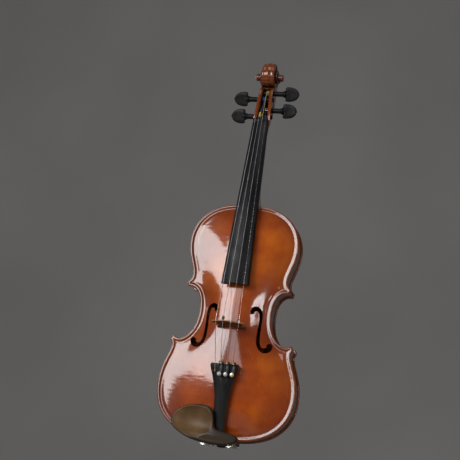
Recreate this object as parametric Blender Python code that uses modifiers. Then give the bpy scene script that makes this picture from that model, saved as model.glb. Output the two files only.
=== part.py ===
"""A full-size violin with a chin rest, held upright: +Z up to the scroll, -Y out of the front, +X treble."""

from math import cos, hypot, pi, radians, sin, sqrt

import bmesh
import bpy
from mathutils import Matrix, Vector
from mathutils.geometry import delaunay_2d_cdt

MM = 0.001
GAP = 0.3 * MM  # between pieces that touch

# Body, measured from the plates' bottom edge; heights count forwards from the ribs' front edge
BODY_LENGTH = 355 * MM
BUTTON_REACH = 9 * MM  # from the end button's outer face to the plates' bottom edge
RIB_HEIGHT = 31 * MM
RIB_THICKNESS = 1.2 * MM
PLATE_EDGE = 4 * MM
PLATE_FIELD = 3 * MM
OVERHANG = 2.6 * MM
TOP_RISE = 11.5 * MM
BACK_RISE = 11 * MM
EDGE_FLAT = 7 * MM  # width of the flat platform round a plate
ARCH_PITCH = 19 * MM  # spacing of the points that follow the arch
ARCH_RUN = 130 * MM  # how far in from each end the long arch reaches its full height
LINING_DEPTH = 2 * MM
LINING_HEIGHT = 7.5 * MM
CORNER_BLOCK_REACH = 21 * MM
UPPER_BLOCK = (25 * MM, 17 * MM)  # half width, depth
LOWER_BLOCK = (22 * MM, 15 * MM)
BAR_X = -15.5 * MM
BAR_HALF = 2.7 * MM
BAR_ENDS = (42 * MM, 312 * MM)
BAR_HEIGHTS = (3 * MM, 8.5 * MM)  # at its ends, and how much more in the middle
POST_X = 19 * MM
POST_Z = 160 * MM
POST_RADIUS = 3 * MM
SADDLE_HALF = 17.5 * MM
SADDLE_LENGTH = 6.5 * MM
SADDLE_TOP = 9 * MM
BUTTON_HALF = 10.5 * MM  # the back plate's button under the neck's heel
BUTTON_RISE = 13.5 * MM
BUTTON_NECK = 3.6 * MM  # the end button's shank
BUTTON_HEAD = 6.75 * MM
BUTTON_GROOVE = 4.2 * MM  # where the tailgut lies round it

# Half outline of the plates in mm, (half width, height), from the top centre down the treble side
UPPER_BOUT = [(0, 355), (22, 354.2), (42, 349.8), (60, 340.5), (74, 326), (82, 307.5), (83.8, 290),
              (81.5, 273), (76.5, 257), (73.2, 245), (73.6, 236.5), (79.6, 229)]
MIDDLE_BOUT = [(77.4, 223), (69.5, 222.3), (62.5, 217.5), (57.5, 208), (55.2, 195), (55.2, 181),
               (58, 167), (63.5, 155.5), (71.5, 147), (81, 143.2), (90.2, 146.4)]
LOWER_BOUT = [(93.2, 140.3), (90.2, 133.5), (92, 124), (97, 110), (101.6, 95), (104, 77), (103, 59),
              (97.5, 41), (87, 25.5), (72, 13.5), (54, 5.8), (34, 1.6), (14, 0.2), (0, 0)]
UPPER_CORNER = (78.5 * MM, 226 * MM)
LOWER_CORNER = (91.7 * MM, 143.3 * MM)

# Treble sound hole in mm: its two eyes (x, height, radius) and its two long edges
UPPER_EYE = (27.3, 190, 3.2)
LOWER_EYE = (57.9, 142, 4.6)
HOLE_OUTER = [(24.4, 191.4), (26.6, 196.9), (32, 199.4), (37.6, 197.4), (41.5, 191.6), (42.6, 184),
              (42.4, 172), (42.3, 160), (42.9, 150), (44.6, 143), (48, 138.8), (53.8, 140)]
HOLE_INNER = [(30.3, 191.2), (33.8, 192.4), (36.4, 190), (37.6, 184.5), (38, 172), (37.6, 160),
              (37.7, 150), (39.1, 142.4), (43.2, 135.4), (49.5, 131.4), (56, 132.2), (60.8, 135.8),
              (62.3, 140.6)]

# Neck, in its own frame: +Z along it from the nut, +Y backwards from the fingerboard's gluing plane
NUT_HEIGHT = 490 * MM
NUT_DEPTH = 3.35 * MM
NECK_TILT = radians(5.95)
MORTISE = 6 * MM
HEEL_HALF = 16.4 * MM
FINGERBOARD_LENGTH = 265.4 * MM
FINGERBOARD_HALF = (12 * MM, 21 * MM)
FINGERBOARD_EDGE = 5 * MM
FINGERBOARD_RADIUS = 42 * MM
NUT_LENGTH = 5.3 * MM
# Neck sections in mm, up from the heel: place along the neck, half width, depth, taper, power
NECK_SECTIONS = [(-150, 16.4, 60, 0.3, 7), (-124, 16.2, 52, 0.32, 7), (-117, 16, 36, 0.3, 5),
                 (-110, 15.7, 22.5, 0.15, 3), (-101, 15.4, 16.2, 0.05, 2.2), (-90, 15.1, 14.2, 0, 2),
                 (-22, 12.8, 12.8, 0, 2), (-10, 12.9, 16.2, 0, 2.2), (-1, 13.1, 19.2, 0, 2.6),
                 (6, 13.2, 20, 0, 3)]
# Side views of the pegbox and of the channel cut into it in mm, (back, up from the nut)
PEGBOX_SIDE = [(0, 1), (-0.6, 30), (0.2, 50), (2, 58), (7, 65), (13, 71), (18, 92), (35, 84), (32.5, 68),
               (28.6, 48), (24, 25), (20.4, 3)]
CHANNEL_SIDE = [(-12, 6.5), (-12, 63), (5, 63), (14, 62.5), (20, 54), (18.4, 30), (15.8, 9.5)]
SCROLL_CENTRE = (12.5 * MM, 85 * MM)  # back from the gluing plane, up from the nut
SCROLL_RADIUS = 25 * MM  # over its first quarter turn, from the back to the top
SCROLL_SHRINK = 0.845  # the volute's radius after each quarter turn from there
SCROLL_STEPS = ((0, 9 * MM), (4, 12.6 * MM), (7, 15.5 * MM))  # quarter turns in, half width
EYE_REACH = 22 * MM
EYE_RADIUS = 5.2 * MM
PEGBOX_HALF = 13.5 * MM  # at the nut
PEGBOX_NARROWING = 4.8 * MM  # over its length
PEGBOX_LENGTH = 92 * MM
CHEEK = 4.6 * MM
PEG_DEPTH = 10.5 * MM
PEGS = [("g", -1, 15.5 * MM), ("d", -1, 45.5 * MM), ("a", 1, 56.5 * MM), ("e", 1, 27 * MM)]
PEG_RADIUS = (4 * MM, 3.3 * MM)
PEG_COLLAR = 26 * MM
PEG_END = 52 * MM
PEG_HEAD = (4.2 * MM, 11.5 * MM)  # half thickness, half width
PEG_COLLAR_PROFILE = [(0, 8), (3.4, 8), (3.4, 4.4), (5.8, 3.4), (5.8, 1.8), (4.3, 0.6)]  # radius, rise, in mm

# Strings: name, x at the nut, the bridge and the tailpiece, radius, where its turns start on the peg
STRINGS = [("g", -8.1 * MM, -17.1 * MM, -14 * MM, 0.42 * MM, 1.5 * MM),
           ("d", -2.7 * MM, -5.7 * MM, -4.7 * MM, 0.38 * MM, 0.3 * MM),
           ("a", 2.7 * MM, 5.7 * MM, 4.7 * MM, 0.34 * MM, 0.2 * MM),
           ("e", 8.1 * MM, 17.1 * MM, 14 * MM, 0.22 * MM, 1.5 * MM)]
STRING_TURNS = 3.5
STRING_PITCH = 1.15 * MM
SLEEVE_RADIUS = 2 * MM
SLEEVE_LENGTH = 5 * MM
SLEEVE_UP = 3.8 * MM  # its middle, up the string from the bridge

# Bridge and tailpiece
BRIDGE_HEIGHT = 169 * MM
BRIDGE_TOP = 49 * MM
BRIDGE_CURVE = 41.5 * MM
BRIDGE_LEAN = 0.05  # how much lower the treble side is
BRIDGE_TILT = 0.13  # how far its crown leans towards the fingerboard
BRIDGE_THICKNESS = (4.4 * MM, 1.6 * MM)
BRIDGE_BASE = 15 * MM  # the height where it starts to thin
# The bridge's outline in mm, (x, height): places across its crown and foot, its shoulder, arch and holes
BRIDGE_CROWN = (24, 20.6, 17.1, 12, 6, 0, -6, -12, -17.1, -20.6, -24)
BRIDGE_SHOULDER = [(24.1, 38.6), (21.4, 37), (18.8, 35.4), (18, 33.4), (19.4, 31.4), (19.4, 29.6),
                   (16.4, 28), (15, 26), (16.6, 23.4), (20, 21), (21.2, 18.6), (21.3, 16.4)]
BRIDGE_FOOT = (21.2, 18.5, 15.5, 12.5, 9.8)
BRIDGE_ARCH = [(10, 16.6), (11.4, 18.4), (9.5, 21.4), (5, 23.6), (0, 24.4)]
BRIDGE_HEART = [(0, 29), (3, 32), (3.6, 34.6), (2, 36), (0, 34.6), (-2, 36), (-3.6, 34.6), (-3, 32)]
BRIDGE_KIDNEY = [(9.5, 33.5), (12.5, 32.2), (13.6, 34.5), (12, 37), (9, 36.4)]
TAIL_TOP = (108.5 * MM, 25 * MM)  # upper end: height, forwards of the ribs
TAIL_LENGTH = 107 * MM
TAIL_TILT = radians(5.9)
TAIL_HALF = [(0, 20.5 * MM), (3 * MM, 22 * MM), (10 * MM, 20 * MM), (17 * MM, 17.4 * MM),
             (32 * MM, 13.2 * MM), (47 * MM, 10.6 * MM), (78 * MM, 8.8 * MM), (TAIL_LENGTH, 7.6 * MM)]
TAIL_CROWN = 3 * MM
TAIL_THICKNESS = 4.5 * MM
SCREW_BACK = 15.5 * MM  # the tuner screws, down from the tailpiece's upper end
TUNER_HALF = 3 * MM
TUNER_HEIGHT = 3.4 * MM
LEVER_PIVOT_UP = 1.5 * MM  # the levers' pivots, beyond the tailpiece's upper end
LEVER_ARM = 5.4 * MM  # how far behind the tailpiece's front plane the levers' long arms lie
LEVER_HALF = 1.0 * MM
HOOK_RISE = 3.8 * MM  # the hook's top, forwards of the lever's pivot
TAILGUT_RADIUS = 1 * MM

# Chin rest
REST_HEIGHTS = (20 * MM, 28 * MM)
REST_OUTLINE = [(-69, 22), (-66, 31), (-56, 40.5), (-42, 45.5), (-27, 47), (-15, 45), (-8.5, 38), (-6.5, 28),
                (-5.5, 20), (-1, 14.5), (9, 11.5), (20, 9.8), (29, 7), (31.5, 2), (28.5, -3), (17, -7.6),
                (0, -8.2), (-20, -6.8), (-40, -2.6), (-56, 4.5), (-66, 12)]
DISH_CENTRE = (-37 * MM, 22 * MM)
DISH_SIZE = (29 * MM, 12 * MM, 21 * MM)  # half sizes of the ball that hollows it
DISH_LIFT = 6 * MM  # the ball's centre, in front of the chin rest
REST_PADS = ((-34 * MM, -18.5 * MM), (18.5 * MM, 28 * MM))  # from and to, on either side of the saddle
CLAMP_HALF_SPACING = 19 * MM
CLAMP_DROP = 5 * MM  # the clamp's legs, below the plates' bottom edge
BARREL_RADIUS = 3.2 * MM
BARREL_HALF = 12 * MM
BARREL_MIDDLE = 6 * MM  # behind the ribs' front edge
LEG_RADIUS = 1.9 * MM

PALETTE = {
    "varnish": ((0.42, 0.15, 0.035), 0.22, 0.0),
    "dark_varnish": ((0.2, 0.07, 0.02), 0.25, 0.0),
    "bare_spruce": ((0.62, 0.45, 0.26), 0.7, 0.0),
    "ebony": ((0.02, 0.018, 0.018), 0.35, 0.0),
    "bridge_maple": ((0.38, 0.2, 0.09), 0.5, 0.0),
    "chin_rest_wood": ((0.13, 0.075, 0.035), 0.35, 0.0),
    "string_steel": ((0.7, 0.7, 0.72), 0.25, 1.0),
    "nickel": ((0.66, 0.65, 0.62), 0.25, 1.0),
    "black_cord": ((0.02, 0.02, 0.02), 0.5, 0.0),
    "brown_sleeve": ((0.09, 0.04, 0.02), 0.5, 0.0),
}


# ---- Scene and modelling helpers ---------------------------------------------------------------

def start_scene():
    for old in list(bpy.data.objects):
        bpy.data.objects.remove(old, do_unlink=True)
    for name in ("violin", "cutters"):
        bpy.context.scene.collection.children.link(bpy.data.collections.new(name))


def material(name):
    if name in bpy.data.materials:
        return bpy.data.materials[name]
    colour, roughness, metallic = PALETTE[name]
    made = bpy.data.materials.new(name)
    made.use_nodes = True
    shader = made.node_tree.nodes["Principled BSDF"]
    shader.inputs["Base Color"].default_value = (*colour, 1.0)
    shader.inputs["Roughness"].default_value = roughness
    shader.inputs["Metallic"].default_value = metallic
    return made


def frame(name, location, tilt, parent=None):
    empty = bpy.data.objects.new(name, None)
    bpy.data.collections["violin"].objects.link(empty)
    empty.location = location
    empty.rotation_euler = (tilt, 0, 0)
    empty.parent = parent
    return empty


def piece(name, mesh, look, parent, location=(0, 0, 0)):
    mesh.name = name
    mesh.materials.clear()
    mesh.materials.append(material(look))
    made = bpy.data.objects.new(name, mesh)
    bpy.data.collections["violin"].objects.link(made)
    made.parent = parent
    made.location = location
    return made


def finished(bm):
    """A mesh from bm, with its faces turned outwards and round surfaces shaded smooth."""
    bmesh.ops.recalc_face_normals(bm, faces=bm.faces[:])
    mesh = bpy.data.meshes.new("made")
    bm.to_mesh(mesh)
    bm.free()
    mesh.shade_smooth()
    mesh.set_sharp_from_angle(angle=radians(35))
    return mesh


def curve_mesh(curve):
    """The closed mesh of a curve, with its caps welded on."""
    holder = bpy.data.objects.new("holder", curve)
    bpy.context.scene.collection.objects.link(holder)
    bpy.context.view_layer.update()
    mesh = bpy.data.meshes.new_from_object(holder.evaluated_get(bpy.context.evaluated_depsgraph_get()))
    bpy.data.objects.remove(holder, do_unlink=True)
    bm = bmesh.new()
    bm.from_mesh(mesh)
    bmesh.ops.remove_doubles(bm, verts=bm.verts[:], dist=0.005 * MM)
    return bm


PLANES = {
    "front": Matrix(((1, 0, 0), (0, 0, 1), (0, 1, 0))),  # outline in X and Z, thick along Y
    "side": Matrix(((0, 0, 1), (1, 0, 0), (0, 1, 0))),  # outline in Y and Z, thick along X
    "end": Matrix(((1, 0, 0), (0, -1, 0), (0, 0, 1))),  # outline in X and forward height, thick along Z
}


def slab(plane, outlines, low, high):
    """A flat outline, with any holes, made as thick as low to high along the plane's third direction."""
    curve = bpy.data.curves.new("outline", "CURVE")
    curve.dimensions = "2D"
    curve.fill_mode = "BOTH"
    curve.extrude = (high - low) / 2
    for outline in outlines:
        spline = curve.splines.new("POLY")
        spline.points.add(len(outline) - 1)
        for point, (a, b) in zip(spline.points, outline):
            point.co = (a, b, 0, 1)
        spline.use_cyclic_u = True
    bm = curve_mesh(curve)
    bmesh.ops.translate(bm, verts=bm.verts[:], vec=(0, 0, (low + high) / 2))
    bmesh.ops.transform(bm, matrix=PLANES[plane].to_4x4(), verts=bm.verts[:])
    return bm


def tube(points, radius, sides=4):
    curve = bpy.data.curves.new("path", "CURVE")
    curve.dimensions = "3D"
    curve.bevel_depth = radius
    curve.bevel_resolution = (sides - 4) // 2
    curve.use_fill_caps = True
    spline = curve.splines.new("POLY")
    spline.points.add(len(points) - 1)
    for point, place in zip(spline.points, points):
        point.co = (*place, 1)
    return curve_mesh(curve)


def loft(sections):
    """A solid through closed sections that have the same number of points."""
    bm = bmesh.new()
    rings = [[bm.verts.new(place) for place in section] for section in sections]
    count = len(sections[0])
    for lower, upper in zip(rings, rings[1:]):
        for i in range(count):
            j = (i + 1) % count
            bm.faces.new((lower[i], lower[j], upper[j], upper[i]))
    bm.faces.new(rings[0])
    bm.faces.new(rings[-1])
    return bm


def rod(radius, low, high, axis="Z", centre=(0, 0), sides=16):
    """A cylinder from low to high along an axis; centre is its place in the other two directions."""
    bm = bmesh.new()
    bmesh.ops.create_cone(bm, cap_ends=True, segments=sides, radius1=radius, radius2=radius, depth=high - low)
    middle = (low + high) / 2
    if axis == "X":
        turn = Matrix.Rotation(pi / 2, 4, "Y")
        place = (middle, *centre)
    elif axis == "Y":
        turn = Matrix.Rotation(pi / 2, 4, "X")
        place = (centre[0], middle, centre[1])
    else:
        turn = Matrix.Identity(4)
        place = (*centre, middle)
    bmesh.ops.transform(bm, matrix=Matrix.Translation(place) @ turn, verts=bm.verts[:])
    return bm


def block(low, high):
    bm = bmesh.new()
    bmesh.ops.create_cube(bm, size=1)
    size = [b - a for a, b in zip(low, high)]
    middle = [(a + b) / 2 for a, b in zip(low, high)]
    bmesh.ops.scale(bm, vec=size, verts=bm.verts[:])
    bmesh.ops.translate(bm, vec=middle, verts=bm.verts[:])
    return bm


def turned(name, profile, look, parent, location=(0, 0, 0), turn=(0, 0, 0), steps=16):
    """A lathe piece about its own Z; the profile, (radius, height), runs down its outer side."""
    mesh = bpy.data.meshes.new(name)
    edges = [(i, i + 1) for i in range(len(profile) - 1)]
    mesh.from_pydata([(radius, 0, height) for radius, height in profile], edges, [])
    made = piece(name, mesh, look, parent, location)
    made.rotation_euler = turn
    screw = made.modifiers.new("lathe", "SCREW")
    screw.steps = steps
    screw.render_steps = steps
    screw.use_merge_vertices = True
    screw.merge_threshold = 0.005 * MM
    screw.use_smooth_shade = True
    return made


def boolean(target, bm, operation, parent):
    """Cuts bm from a piece, or joins bm to it; bm is in its parent's frame."""
    cutter = piece("cutter", finished(bm), "ebony", parent)
    bpy.data.collections["violin"].objects.unlink(cutter)
    bpy.data.collections["cutters"].objects.link(cutter)
    cutter.hide_render = True
    cutter.display_type = "WIRE"
    modifier = target.modifiers.new(operation.lower(), "BOOLEAN")
    modifier.operation = operation
    modifier.solver = "EXACT"
    modifier.object = cutter


# ---- Outlines ----------------------------------------------------------------------------------

def smooth(points, per_span, before=None, after=None):
    """A centripetal Catmull-Rom curve through the points; before and after steer its two ends."""
    path = [Vector(p) for p in points]
    path.insert(0, Vector(before) if before else 2 * path[0] - path[1])
    path.append(Vector(after) if after else 2 * path[-1] - path[-2])
    curve = []
    for a, b, c, d in zip(path, path[1:], path[2:], path[3:]):
        tb = sqrt((b - a).length)
        tc = tb + sqrt((c - b).length)
        td = tc + sqrt((d - c).length)
        for step in range(per_span):
            t = tb + (tc - tb) * step / per_span
            ab = a.lerp(b, t / tb)
            bc = b.lerp(c, (t - tb) / (tc - tb))
            cd = c.lerp(d, (t - tc) / (td - tc))
            left = ab.lerp(bc, t / tc)
            right = bc.lerp(cd, (t - tb) / (td - tb))
            curve.append(left.lerp(right, (t - tb) / (tc - tb)))
    curve.append(path[-2])
    return scaled(curve)


def plate_outline(per_span=3):
    """The plates' whole outline, clockwise from the top centre."""
    half = smooth(UPPER_BOUT, per_span, before=(-22, 354.2))
    half += smooth(MIDDLE_BOUT, per_span)
    half += smooth(LOWER_BOUT, per_span, after=(-14, 0.2))
    return half + [(-x, z) for x, z in reversed(half[1:-1])]


def scaled(points):
    return [(a * MM, b * MM) for a, b in points]


def distance_to(place, loop):
    best = BODY_LENGTH
    for (ax, az), (bx, bz) in zip(loop, loop[1:] + loop[:1]):
        dx, dz = bx - ax, bz - az
        t = ((place[0] - ax) * dx + (place[1] - az) * dz) / (dx * dx + dz * dz)
        t = min(max(t, 0), 1)
        best = min(best, hypot(place[0] - ax - t * dx, place[1] - az - t * dz))
    return best


def inside(place, loop):
    x, z = place
    hit = False
    for (ax, az), (bx, bz) in zip(loop, loop[1:] + loop[:1]):
        if (az > z) != (bz > z) and x < ax + (z - az) * (bx - ax) / (bz - az):
            hit = not hit
    return hit


def inset(loop, distance):
    """The clockwise loop moved inwards, without the points that would cross over at the corners."""
    moved = []
    for i, (x, z) in enumerate(loop):
        before = loop[i - 1]
        after = loop[(i + 1) % len(loop)]
        dx, dz = after[0] - before[0], after[1] - before[1]
        length = hypot(dx, dz)
        place = (x + distance * dz / length, z - distance * dx / length)
        if distance_to(place, loop) > distance * 0.98:
            moved.append(place)
    return moved


def treble_half(loop):
    """The part of a clockwise loop from the top centre to the bottom centre."""
    return [(max(x, 0), z) for x, z in loop if x > -0.01 * MM]


def stations(line):
    reached = [0]
    for (ax, az), (bx, bz) in zip(line, line[1:]):
        reached.append(reached[-1] + hypot(bx - ax, bz - az))
    return reached


def nearest_station(line, place):
    lengths = stations(line)
    gaps = [hypot(x - place[0], z - place[1]) for x, z in line]
    return lengths[gaps.index(min(gaps))]


def stretch(line, start, end):
    """The part of a line between two distances along it."""
    lengths = stations(line)

    def at(wanted):
        for i in range(len(line) - 1):
            if lengths[i + 1] >= wanted:
                t = (wanted - lengths[i]) / (lengths[i + 1] - lengths[i])
                return tuple(a + t * (b - a) for a, b in zip(line[i], line[i + 1]))
        return line[-1]

    margin = 0.2 * MM
    between = [p for p, s in zip(line, lengths) if start + margin < s < end - margin]
    return [at(start)] + between + [at(end)]


def mirrored(outline):
    return [(-x, z) for x, z in reversed(outline)]


def sound_hole(per_span=2):
    """The treble sound hole's outline: two eyes joined by the stem."""
    def eye_arc(eye, start, end, count):
        x, z, radius = eye
        angles = [radians(start + (end - start) * i / count) for i in range(1, count)]
        return [((x + radius * cos(a)) * MM, (z + radius * sin(a)) * MM) for a in angles]

    outer = smooth(HOLE_OUTER, per_span)
    inner = smooth(HOLE_INNER, per_span)
    lower_eye = eye_arc(LOWER_EYE, 206, -17, 7)
    upper_eye = eye_arc(UPPER_EYE, 22, -206, 6)
    return outer + lower_eye + inner[::-1] + upper_eye


# ---- Arching -----------------------------------------------------------------------------------

ARCH_FIELD = UPPER_BOUT[:-2] + MIDDLE_BOUT[2:-3] + LOWER_BOUT[3:]  # the outline without its corners


def field_half_width(z):
    for (ax, az), (bx, bz) in zip(ARCH_FIELD, ARCH_FIELD[1:]):
        if az * MM >= z >= bz * MM:
            t = (az * MM - z) / ((az - bz) * MM)
            return (ax + t * (bx - ax)) * MM
    return 0


def arch(x, z, rise):
    """How far a plate's outer face stands above its edge."""
    half = field_half_width(z) - EDGE_FLAT
    end = min(z, BODY_LENGTH - z) - EDGE_FLAT
    if half <= abs(x) or end <= 0:
        return 0
    across = (1 - (abs(x) / half) ** 2.5) ** 1.5
    along = 1 - (1 - min(end / ARCH_RUN, 1)) ** 2.2
    return rise * across * along


def plate_thickness(raised):
    """The plates are thickest at their edge and thin out over the first rise."""
    edge_part = max(0, 1 - raised / (2 * MM))
    return PLATE_FIELD + (PLATE_EDGE - PLATE_FIELD) * edge_part


def plate(outline, holes, rise):
    """An arched plate with its gluing face at y = 0 and its outer face towards -Y."""
    boundary = [outline] + holes
    points = []
    edges = []
    for loop in boundary:
        first = len(points)
        points += loop
        edges += [(first + i, first + (i + 1) % len(loop)) for i in range(len(loop))]
    for depth in (EDGE_FLAT, 2.4 * EDGE_FLAT):
        ring = inset(outline, depth)[::3]
        points += [p for p in ring if all(distance_to(p, hole) > 5 * MM for hole in holes)]
    pitch = ARCH_PITCH
    for row in range(1, int(BODY_LENGTH / pitch) + 1):
        for column in range(-5, 6):
            place = ((column + 0.5 * (row % 2)) * pitch, row * pitch)
            if inside(place, outline) and distance_to(place, outline) > 3 * EDGE_FLAT:
                if all(distance_to(place, hole) > 7 * MM and not inside(place, hole) for hole in holes):
                    points.append(place)
    flat, _, faces, _, _, _ = delaunay_2d_cdt([Vector(p) for p in points], edges, [], 0, 0.001 * MM)
    bm = bmesh.new()
    verts = [bm.verts.new((p.x, 0, p.y)) for p in flat]
    for face in faces:
        middle = sum((flat[i] for i in face), Vector((0, 0))) / len(face)
        if inside(middle, outline) and not any(inside(middle, hole) for hole in holes):
            bm.faces.new([verts[i] for i in face])
    bmesh.ops.delete(bm, geom=[v for v in bm.verts if not v.link_faces], context="VERTS")
    lifted = bmesh.ops.extrude_face_region(bm, geom=bm.faces[:])["geom"]
    fronts = {item for item in lifted if isinstance(item, bmesh.types.BMVert)}
    for vert in bm.verts:
        raised = arch(vert.co.x, vert.co.z, rise)
        front = PLATE_EDGE + raised
        vert.co.y = -front if vert in fronts else plate_thickness(raised) - front
    return bm


def top_surface(x, z):
    return PLATE_EDGE + arch(x, z, TOP_RISE)


def under_top(x, z):
    raised = arch(x, z, TOP_RISE)
    return PLATE_EDGE + raised - plate_thickness(raised)


# ---- Body --------------------------------------------------------------------------------------

def make_plates(body):
    outline = plate_outline()
    hole = sound_hole()
    top = piece("top_plate", finished(plate(outline, [hole, mirrored(hole)], TOP_RISE)), "varnish", body)
    saddle = SADDLE_HALF + GAP
    notch = block((-saddle, -3 * PLATE_EDGE, -PLATE_EDGE), (saddle, PLATE_EDGE, SADDLE_LENGTH + GAP))
    boolean(top, notch, "DIFFERENCE", body)
    heel = HEEL_HALF + GAP
    floor = BODY_LENGTH - MORTISE - GAP
    mortise = block((-heel, -3 * PLATE_EDGE, floor), (heel, PLATE_EDGE, BODY_LENGTH + MORTISE))
    boolean(top, mortise, "DIFFERENCE", body)

    button = [(BUTTON_HALF * cos(a), BODY_LENGTH - 2 * MM + BUTTON_RISE * sin(a))
              for a in (pi * i / 10 for i in range(10, -1, -1))]
    above = [p for p in outline if abs(p[0]) > BUTTON_HALF or p[1] < BODY_LENGTH / 2]
    turn = next(i for i, p in enumerate(above) if p[0] > 0)
    below = above[turn:] + above[:turn]
    back = plate(button + below, [], BACK_RISE)
    bmesh.ops.transform(back, matrix=Matrix.Diagonal((1, -1, 1, 1)), verts=back.verts[:])
    piece("back_plate", finished(back), "varnish", body, location=(0, RIB_HEIGHT, 0))


def make_ribs(body):
    """Six ribs, each bent round its part of the outline and standing between the plates."""
    loop = plate_outline()
    outer = treble_half(inset(loop, OVERHANG))
    inner = treble_half(inset(loop, OVERHANG + RIB_THICKNESS))
    lines = (outer, inner)
    upper = [nearest_station(line, UPPER_CORNER) for line in lines]
    lower = [nearest_station(line, LOWER_CORNER) for line in lines]
    ends = [stations(line)[-1] for line in lines]
    heel = HEEL_HALF + GAP
    joint = GAP / 2
    spans = {
        "upper_rib": [(heel, s - joint) for s in upper],
        "middle_rib": [(a + joint, b - joint) for a, b in zip(upper, lower)],
        "lower_rib": [(a + joint, b - joint) for a, b in zip(lower, ends)],
    }
    for name, span in spans.items():
        outside = stretch(outer, *span[0])
        inside_line = stretch(inner, *span[1])
        outline = outside + inside_line[::-1]
        for side, shape in (("treble", outline), ("bass", mirrored(outline))):
            rib = slab("front", [shape], GAP, RIB_HEIGHT - GAP)
            made = piece(f"{name}_{side}", finished(rib), "dark_varnish", body)
            if name == "lower_rib":
                boolean(made, button_hole(), "DIFFERENCE", body)


def button_hole():
    return rod(BUTTON_NECK + GAP, -PLATE_EDGE, LOWER_BLOCK[1], centre=(0, RIB_HEIGHT / 2))


def make_blocks(body):
    """Blocks at the corners and ends; each fills the space between the ribs down to its own flat face."""
    depth = OVERHANG + RIB_THICKNESS + 2 * GAP
    line = treble_half(inset(plate_outline(), depth))
    for name, corner in (("upper_corner_block", UPPER_CORNER), ("lower_corner_block", LOWER_CORNER)):
        tip = nearest_station(line, corner)
        blunt = 1.2 * MM
        outline = stretch(line, tip - CORNER_BLOCK_REACH, tip - blunt)
        outline += stretch(line, tip + blunt, tip + CORNER_BLOCK_REACH)
        for side, shape in (("treble", outline), ("bass", mirrored(outline))):
            bm = slab("front", [shape], GAP, RIB_HEIGHT - GAP)
            piece(f"{name}_{side}", finished(bm), "bare_spruce", body)
    half, reach = UPPER_BLOCK
    rim = [p for p in line if p[0] < half and p[1] > BODY_LENGTH / 2]
    face = BODY_LENGTH - depth - reach
    shape = mirrored(rim[1:]) + rim + [(half, face), (-half, face)]
    upper = piece("upper_block", finished(slab("front", [shape], GAP, RIB_HEIGHT - GAP)), "bare_spruce", body)
    heel = HEEL_HALF + GAP
    mortise = block((-heel, -PLATE_EDGE, BODY_LENGTH - MORTISE - GAP), (heel, 2 * RIB_HEIGHT, BODY_LENGTH))
    boolean(upper, mortise, "DIFFERENCE", body)
    half, reach = LOWER_BLOCK
    rim = [p for p in line if p[0] < half and p[1] < BODY_LENGTH / 2]
    shape = [(-half, depth + reach), (half, depth + reach)] + rim + mirrored(rim[:-1])
    lower = piece("lower_block", finished(slab("front", [shape], GAP, RIB_HEIGHT - GAP)), "bare_spruce", body)
    boolean(lower, button_hole(), "DIFFERENCE", body)


def make_linings(body):
    """Strips that widen the ribs' gluing edges, between one block and the next, at both plates."""
    loop = plate_outline(2)
    depth = OVERHANG + RIB_THICKNESS + GAP
    outer = treble_half(inset(loop, depth))
    inner = treble_half(inset(loop, depth + LINING_DEPTH))
    spans = {"upper": [], "middle": [], "lower": []}
    reach = CORNER_BLOCK_REACH + 1.5 * MM
    for line in (outer, inner):
        upper = nearest_station(line, UPPER_CORNER)
        lower = nearest_station(line, LOWER_CORNER)
        end = stations(line)[-1]
        spans["upper"].append((UPPER_BLOCK[0] + 2 * MM, upper - reach))
        spans["middle"].append((upper + reach, lower - reach))
        spans["lower"].append((lower + reach, end - LOWER_BLOCK[0] - 2 * MM))
    levels = {"top": (GAP, LINING_HEIGHT), "back": (RIB_HEIGHT - LINING_HEIGHT, RIB_HEIGHT - GAP)}
    for bout, (outside, inside_line) in spans.items():
        outline = stretch(outer, *outside) + stretch(inner, *inside_line)[::-1]
        for side, shape in (("treble", outline), ("bass", mirrored(outline))):
            for level, (low, high) in levels.items():
                bm = slab("front", [shape], low, high)
                piece(f"{bout}_{level}_lining_{side}", finished(bm), "bare_spruce", body)


def make_inside(body):
    """The bass bar along the top's underside and the sound post behind the bridge's treble foot."""
    sections = []
    steps = 12
    for i in range(steps + 1):
        t = i / steps
        z = BAR_ENDS[0] + t * (BAR_ENDS[1] - BAR_ENDS[0])
        height = BAR_HEIGHTS[0] + BAR_HEIGHTS[1] * sin(pi * t)
        edges = (BAR_X - BAR_HALF, BAR_X + BAR_HALF)
        tops = [min(under_top(x, z), under_top(BAR_X, z)) - 4 * GAP for x in edges]
        base = min(tops) - height
        front = [(x, -top, z) for x, top in zip(edges, tops)]
        rear = [(x, -base, z) for x in edges[::-1]]
        sections.append(front + rear)
    piece("bass_bar", finished(loft(sections)), "bare_spruce", body)

    spots = [(POST_X + a * POST_RADIUS, POST_Z + b * POST_RADIUS) for a in (-1, 1) for b in (-1, 1)]
    front = min(under_top(*spot) for spot in spots) - 2 * GAP
    raised = min(arch(*spot, BACK_RISE) for spot in spots)
    back = RIB_HEIGHT + PLATE_EDGE + raised - plate_thickness(raised) - GAP
    bm = rod(POST_RADIUS, -front, back, axis="Y", centre=(POST_X, POST_Z))
    piece("sound_post", finished(bm), "bare_spruce", body)


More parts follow.
